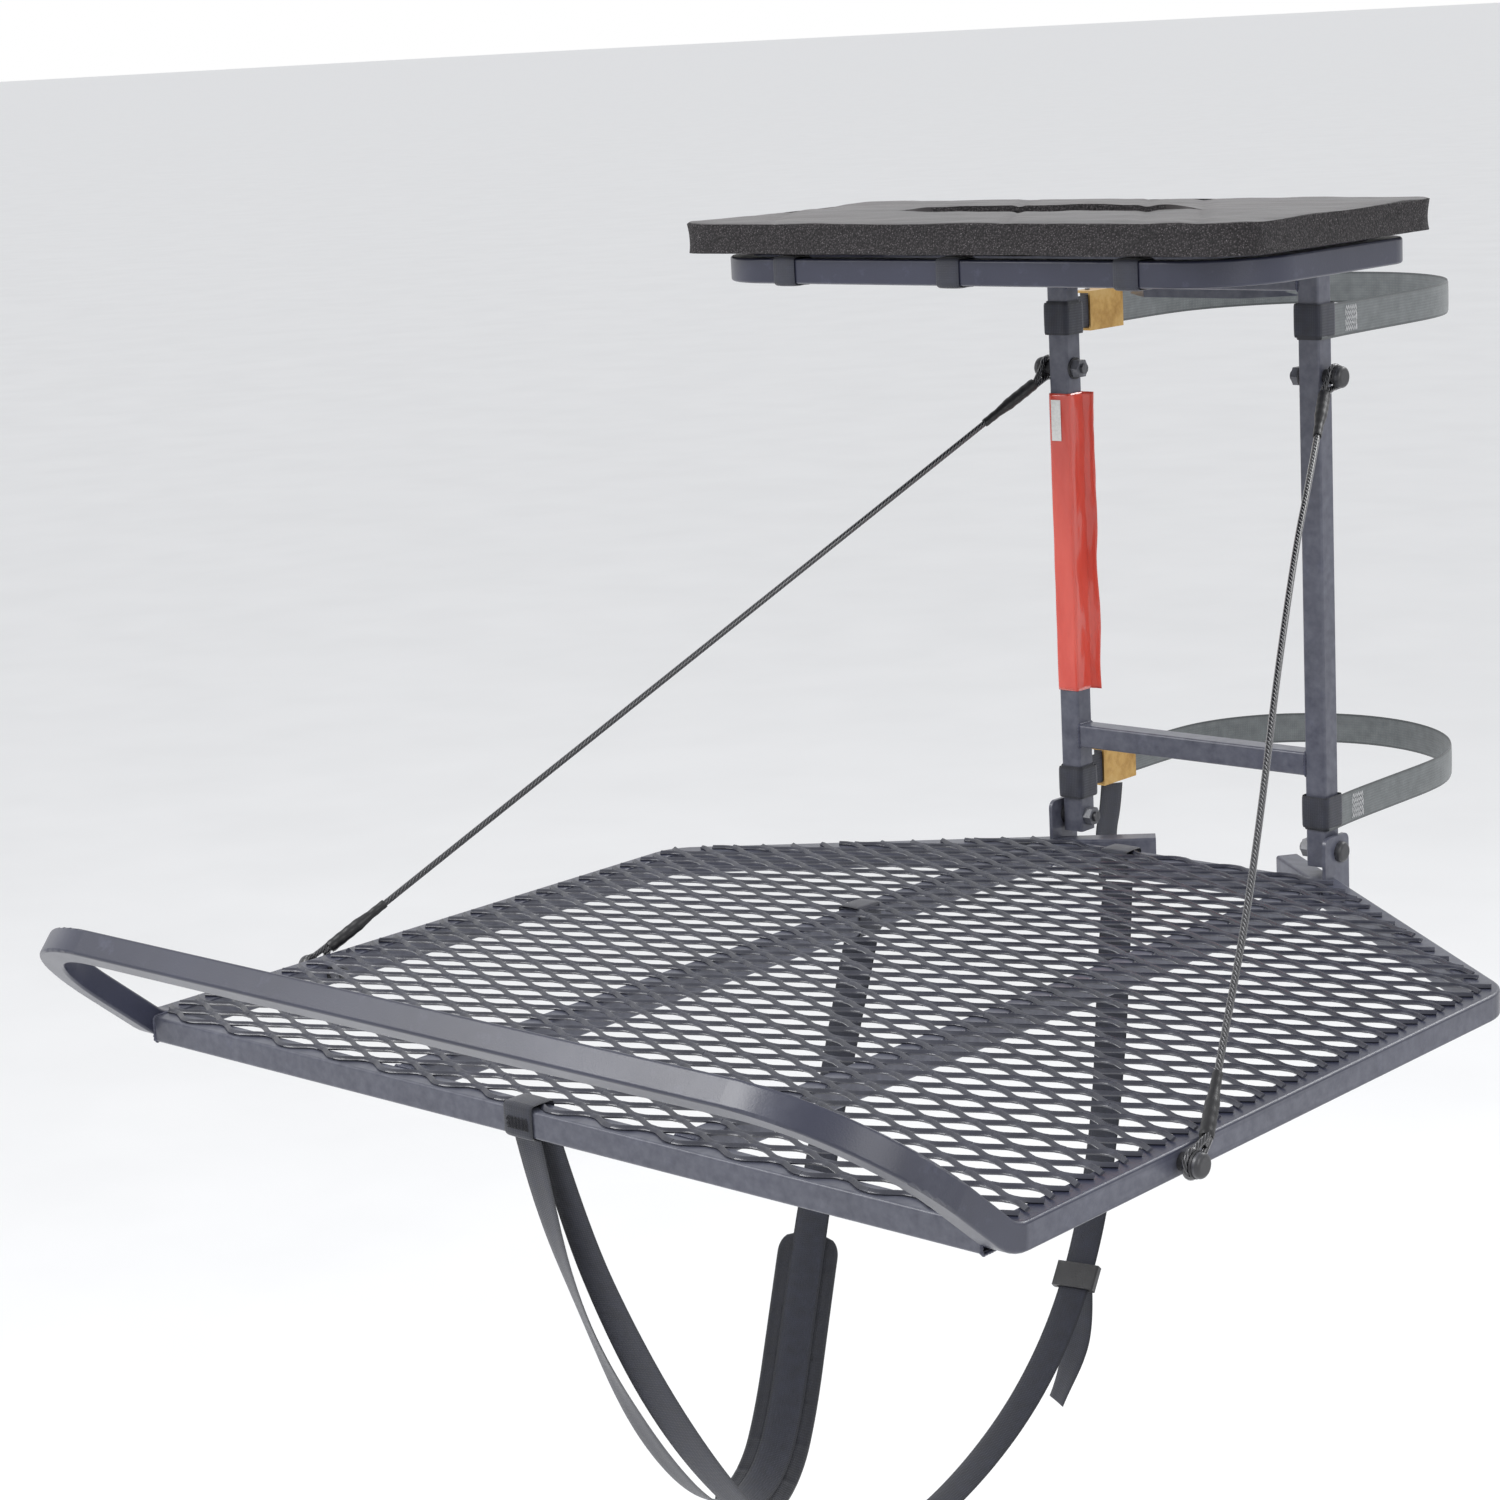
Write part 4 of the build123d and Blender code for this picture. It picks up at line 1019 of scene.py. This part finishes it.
loop_z = (deck_high.z - half) / 2
loop_hy, loop_hz = half + 1.0 * MM, (deck_high.z + half) / 2 + 1.0 * MM
loop_ribbon("front_tube_loop", Vector((0, front_y, loop_z)), "YZ", loop_hy, loop_hz, WEB, WEB_T,
            "platform", web_black, ["front_strap_loop"])
loop_ribbon("rear_tube_loop", Vector((-55 * MM, rear_y, loop_z)), "YZ", loop_hy, loop_hz, WEB, WEB_T,
            "platform", web_black, ["rear_strap_loop"])
loop_ribbon("strut_loop", Vector((-strut_x, -300 * MM, loop_z)), "XZ", loop_hy, loop_hz, WEB, WEB_T,
            "platform", web_black, ["strut_strap_loop"])
for name, spot, normal in (
    ("front_loop_tack", Vector((0, front_y - loop_hy - 0.9 * MM, 0)), Vector((0, -1, 0))),
    ("rear_loop_tack", Vector((-55 * MM, rear_y + loop_hy + 0.9 * MM, 0)), Vector((0, 1, 0))),
):
    bar_tack(name, spot, Vector((1, 0, 0)), Vector((0, 0, 1)), normal, 18 * MM, 8 * MM, "platform",
             black_thread)

# ---------------------------------------------------------------- sling and ties under the pad
sling_low, sling_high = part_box("seat_sling")
web_sling = webbing("web_sling_detail", (0.014, 0.015, 0.024), (0.03, 0.033, 0.05),
                    (0.008, 0.009, 0.014), 1.0 / 0.0022, 0.202)
sling_path = []
for k in range(140):
    s = k / 139
    x = sling_low.x + (sling_high.x - sling_low.x) * s
    sling_path.append(Vector((x, (sling_low.y + sling_high.y) / 2,
                              (sling_low.z + sling_high.z) / 2 + 0.15 * MM * math.sin(s * 60))))
sling = ribbon("seat_web_panel", sling_path, [Vector((0, 1, 0))] * 140, sling_high.y - sling_low.y,
               1.4 * MM, "seat", web_sling, ["seat_sling"])
seat_front_mid = seat_low.y + half
seat_mid_z = (seat_low.z + seat_high.z) / 2
for k, x in enumerate((-150 * MM, 0.0, 150 * MM)):
    loop_ribbon(f"seat_tie_{k}", Vector((x, seat_front_mid, seat_mid_z)), "YZ", half + 1.0 * MM,
                half + 1.0 * MM, 20 * MM, WEB_T, "seat", web_black,
                ["seat_ties"] if k == 0 else ())

# ---------------------------------------------------------------- support cables
upper_eye = mm(130.6, -38, 385)
lower_eye = mm(388.6, -612, 0)
sways = {"left": ([], []), "right": (
    [(0.16, -9.0), (0.25, -11.0)], [(0.44, -4.5), (0.55, 2.5), (0.65, 7.5), (0.75, 11.0), (0.85, 10.0)])}


def teardrop(name, centre, towards, body):
    """The wire rope's eye: round its bolt and back into the sleeve."""
    across_way = Vector((1, 0, 0)).cross(towards).normalized()
    raw = [centre + towards * (21 * MM) + across_way * (1.4 * MM)]
    for k in range(0, 19):
        a = math.radians(38 + (322 - 38) * k / 18)
        raw.append(centre + towards * (math.cos(a) * 8 * MM) + across_way * (math.sin(a) * 8 * MM))
    raw.append(centre + towards * (21 * MM) - across_way * (1.4 * MM))
    path = curve_points(raw, 70)
    tube_piece(name, path, 2.1 * MM, body, cable_coat, segments=12, start=(1, 0, 0))


def shrink_sleeve(name, start, direction, node, body):
    """Heat-shrink over the crimp: swollen over the ferrule, drawn in at its ends."""
    count = 46
    path, radii = [], []
    for k in range(count):
        s = k / (count - 1)
        path.append(start + direction * (52 * MM * s))
        ferrule = 1 / (1 + math.exp((s - 0.62) * 26))
        mouth = 0.35 * math.exp(-((s - 0.0) / 0.03) ** 2) + 0.25 * math.exp(-((s - 1.0) / 0.03) ** 2)
        radii.append((3.3 + 1.3 * ferrule - mouth + 0.12 * math.sin(s * 40)) * MM)
    tube_piece(name, path, 4 * MM, body, shrink_plastic, [node], segments=20,
               radii=radii, start=(1, 0, 0))


for side, sign in (("left", -1), ("right", 1)):
    top = Vector((sign * upper_eye.x, upper_eye.y, upper_eye.z))
    bottom = Vector((sign * lower_eye.x, lower_eye.y, lower_eye.z))
    line = bottom - top
    in_plane = Vector((0, line.y, line.z)).normalized()
    top_stub = top + in_plane * (16 * MM)
    bottom_stub = bottom - in_plane * (16 * MM)
    first = [top + line * s + mm(0, sway, 0) for s, sway in sways[side][0]]
    second = [top + line * s + mm(0, sway, 0) for s, sway in sways[side][1]]
    if first:
        split = (first[-1] + second[0]) / 2
    else:
        split = top_stub + (bottom_stub - top_stub) * 0.345
    route = [top_stub - in_plane * (3 * MM), top_stub, *first]
    if not first:
        route.append(split)
    route += [*second, bottom_stub, bottom_stub + in_plane * (3 * MM)]
    path = curve_points(route, 420)
    cable = tube_piece(f"{side}_support_cable", path, 2.35 * MM, None, cable_coat,
                       [f"{side}_cable_upper_span", f"{side}_cable_lower_span"], segments=14)
    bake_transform(cable)
    teardrop(f"{side}_upper_eye", top, in_plane, f"{side}_cable_top")
    teardrop(f"{side}_lower_eye", bottom, -in_plane, f"{side}_cable_bottom")
    down = ((first[0] if first else split) - top_stub).normalized()
    lift = ((second[-1] if second else split) - bottom_stub).normalized()
    shrink_sleeve(f"{side}_upper_shrink", top_stub + down * (4 * MM), down,
                  f"{side}_cable_upper_sleeve", f"{side}_cable_top")
    shrink_sleeve(f"{side}_lower_shrink", bottom_stub + lift * (4 * MM), lift,
                  f"{side}_cable_lower_sleeve", f"{side}_cable_bottom")


# ---------------------------------------------------------------- vinyl sleeve
def make_vinyl():
    low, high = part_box("manual_sleeve")
    wide = half + 0.9 * MM
    flap = high.x + post_x
    corners = [
        (flap, wide - 0.6 * MM), (flap - 4 * MM, wide - 0.1 * MM), (wide + 1.0 * MM, wide + 0.2 * MM),
        (0, wide + 0.3 * MM), (-wide + 1.2 * MM, wide), (-wide, wide - 1.2 * MM), (-wide, 0),
        (-wide, -wide + 1.2 * MM), (-wide + 1.2 * MM, -wide), (0, -wide), (wide - 1.2 * MM, -wide),
        (wide, -wide + 1.2 * MM), (wide + 0.1 * MM, 0), (wide + 0.5 * MM, wide - 2.5 * MM),
        (flap - 4 * MM, wide - 1.1 * MM), (flap, wide - 1.0 * MM)]
    around = even([Vector((x, y, 0)) for x, y in corners], 74)
    tall = 90
    verts, faces, uvs = [], [], []
    for j in range(tall + 1):
        z = low.z + (high.z - low.z) * j / tall
        for i, p in enumerate(around):
            out = p.normalized()
            loose = 0.35 * MM if abs(p.x) < wide and abs(p.y) < wide + 1 * MM else 0.9 * MM
            ripple = noise.noise(Vector((i * 0.10, z * 38, 2.0))) * loose
            wave = 0.0
            if p.x > wide + 1 * MM:
                wave = noise.noise(Vector((z * 24, 5.0, 1.0))) * 2.2 * MM * (p.x - wide) / (flap - wide)
            verts.append((p.x + out.x * max(ripple, -0.1 * MM) - post_x,
                          p.y + post_y + out.y * max(ripple, -0.1 * MM) + wave, z))
    n = len(around)
    for j in range(tall):
        for i in range(n - 1):
            f = (j * n + i, j * n + i + 1, (j + 1) * n + i + 1, (j + 1) * n + i)
            faces.append(f[::-1])
            uvs.append([(i * 0.001, j * 0.0026)] * 4)
    sleeve = finish_piece("vinyl_sleeve", verts, faces, "post_frame", [vinyl_red], uvs,
                          None, ["manual_sleeve"], 60.0)
    thick = sleeve.modifiers.new("thick", "SOLIDIFY")
    thick.thickness = 0.35 * MM
    thick.offset = 1.0


make_vinyl()


# ---------------------------------------------------------------- weld beads
def bead_ring(name, centre, plane, hx, hy, body):
    """A hand-laid bead round a tube's end, as a row of overlapping ripples."""
    path = []
    radii = []
    for i, p in enumerate(rounded_loop(hx, hy, 2.2 * MM, 0.8 * MM)):
        path.append(in_plane_point(centre, plane, p.x, p.y))
        radii.append((1.15 + 0.28 * math.sin(i * 2.1) + 0.15 * noise.noise(p * 300)) * MM)
    return tube_piece(name, path, 1.2 * MM, body, weld_coat, closed=True, segments=9,
                      radii=radii, start=PLANE_AXIS[plane])


for bar in ("lower_crossbar", "upper_crossbar"):
    low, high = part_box(bar)
    for sign in (-1, 1):
        end = Vector((sign * high.x, (low.y + high.y) / 2, (low.z + high.z) / 2))
        bead_ring(f"{bar}_weld_{'lr'[sign > 0]}", end, "YZ", half, half, "post_frame")
for sign in (-1, 1):
    for joint, place, plane in (
        ("front_tube", Vector((sign * front_high.x, front_y, 0)), "YZ"),
        ("strut_front", Vector((sign * strut_x, strut_low.y, 0)), "XZ"),
        ("strut_rear", Vector((sign * strut_x, strut_high.y, 0)), "XZ"),
    ):
        bead_ring(f"{joint}_weld_{'lr'[sign > 0]}", place, plane, half, half, "platform")

# ---------------------------------------------------------------- camera
azimuth, elevation, roll = (math.radians(v) for v in (42.55, 12.2, -3.05))
level = math.cos(elevation)
forward = Vector((-math.sin(azimuth) * level, math.cos(azimuth) * level, -math.sin(elevation)))
right = Vector((math.cos(azimuth), math.sin(azimuth), 0))
up = right.cross(forward)
cam_right = right * math.cos(roll) + up * math.sin(roll)
cam_up = up * math.cos(roll) - right * math.sin(roll)
camera_data = bpy.data.cameras.new("camera")
camera_data.lens = 79.4184
camera_data.sensor_width = 36.0
camera_data.clip_start = 0.05
camera_data.clip_end = 1500.0
camera = bpy.data.objects.new("camera", camera_data)
bpy.context.scene.collection.objects.link(camera)
place = Matrix((cam_right, cam_up, -forward)).transposed().to_4x4()
place.translation = mm(1440.2, -2117.4, 652.3)
camera.matrix_world = place
bpy.context.scene.camera = camera

# ---------------------------------------------------------------- light and floor
world = bpy.data.worlds.new("studio")
world.use_nodes = True
sky = world.node_tree
sky_coords = sky.nodes.new("ShaderNodeTexCoord")
sky_split = sky.nodes.new("ShaderNodeSeparateXYZ")
sky_ramp = sky.nodes.new("ShaderNodeValToRGB")
sky_ramp.color_ramp.elements[0].position = 0.06
sky_ramp.color_ramp.elements[0].color = (1, 1, 1, 1)
sky_ramp.color_ramp.elements[1].position = 0.45
sky_ramp.color_ramp.elements[1].color = (0.74, 0.75, 0.77, 1)
sky.links.new(sky_coords.outputs["Generated"], sky_split.inputs[0])
sky.links.new(sky_split.outputs[2], sky_ramp.inputs["Fac"])
sky.links.new(sky_ramp.outputs["Color"], sky.nodes["Background"].inputs["Color"])
sky.nodes["Background"].inputs["Strength"].default_value = 1.0
bpy.context.scene.world = world
bpy.context.scene.view_settings.view_transform = "Standard"


def softbox(name, place, aim, size, power):
    data = bpy.data.lights.new(name, "AREA")
    data.shape = "RECTANGLE"
    data.size, data.size_y = size
    data.energy = power
    light = bpy.data.objects.new(name, data)
    light.location = place
    light.rotation_mode = "QUATERNION"
    light.rotation_quaternion = (Vector(aim) - Vector(place)).to_track_quat("-Z", "Y")
    bpy.context.scene.collection.objects.link(light)


softbox("key_light", (-1.6, -2.6, 2.6), (0, -0.4, 0.1), (1.6, 1.6), 70)
softbox("fill_light", (2.8, -1.2, 1.6), (0, -0.4, 0.1), (1.4, 2.0), 26)
softbox("rim_light", (0.6, 2.6, 2.2), (0, -0.3, 0.2), (2.2, 1.0), 40)

floor_material = Nodes("floor_paper")
paper_stops = [(0.3, (0.93, 0.93, 0.93)), (0.7, (0.96, 0.96, 0.96))]
floor_material.colour(floor_material.ramp(floor_material.noise(3.0, 2.0), paper_stops))
floor_material.rough(floor_material.spread(floor_material.noise(5.0), 0.85, 0.95))
floor = finish_piece(
    "floor",
    [(-600, -600, -1.1), (600, -600, -1.1), (600, 600, -1.1), (-600, 600, -1.1)],
    [(0, 1, 2, 3)], None, [floor_material.material])
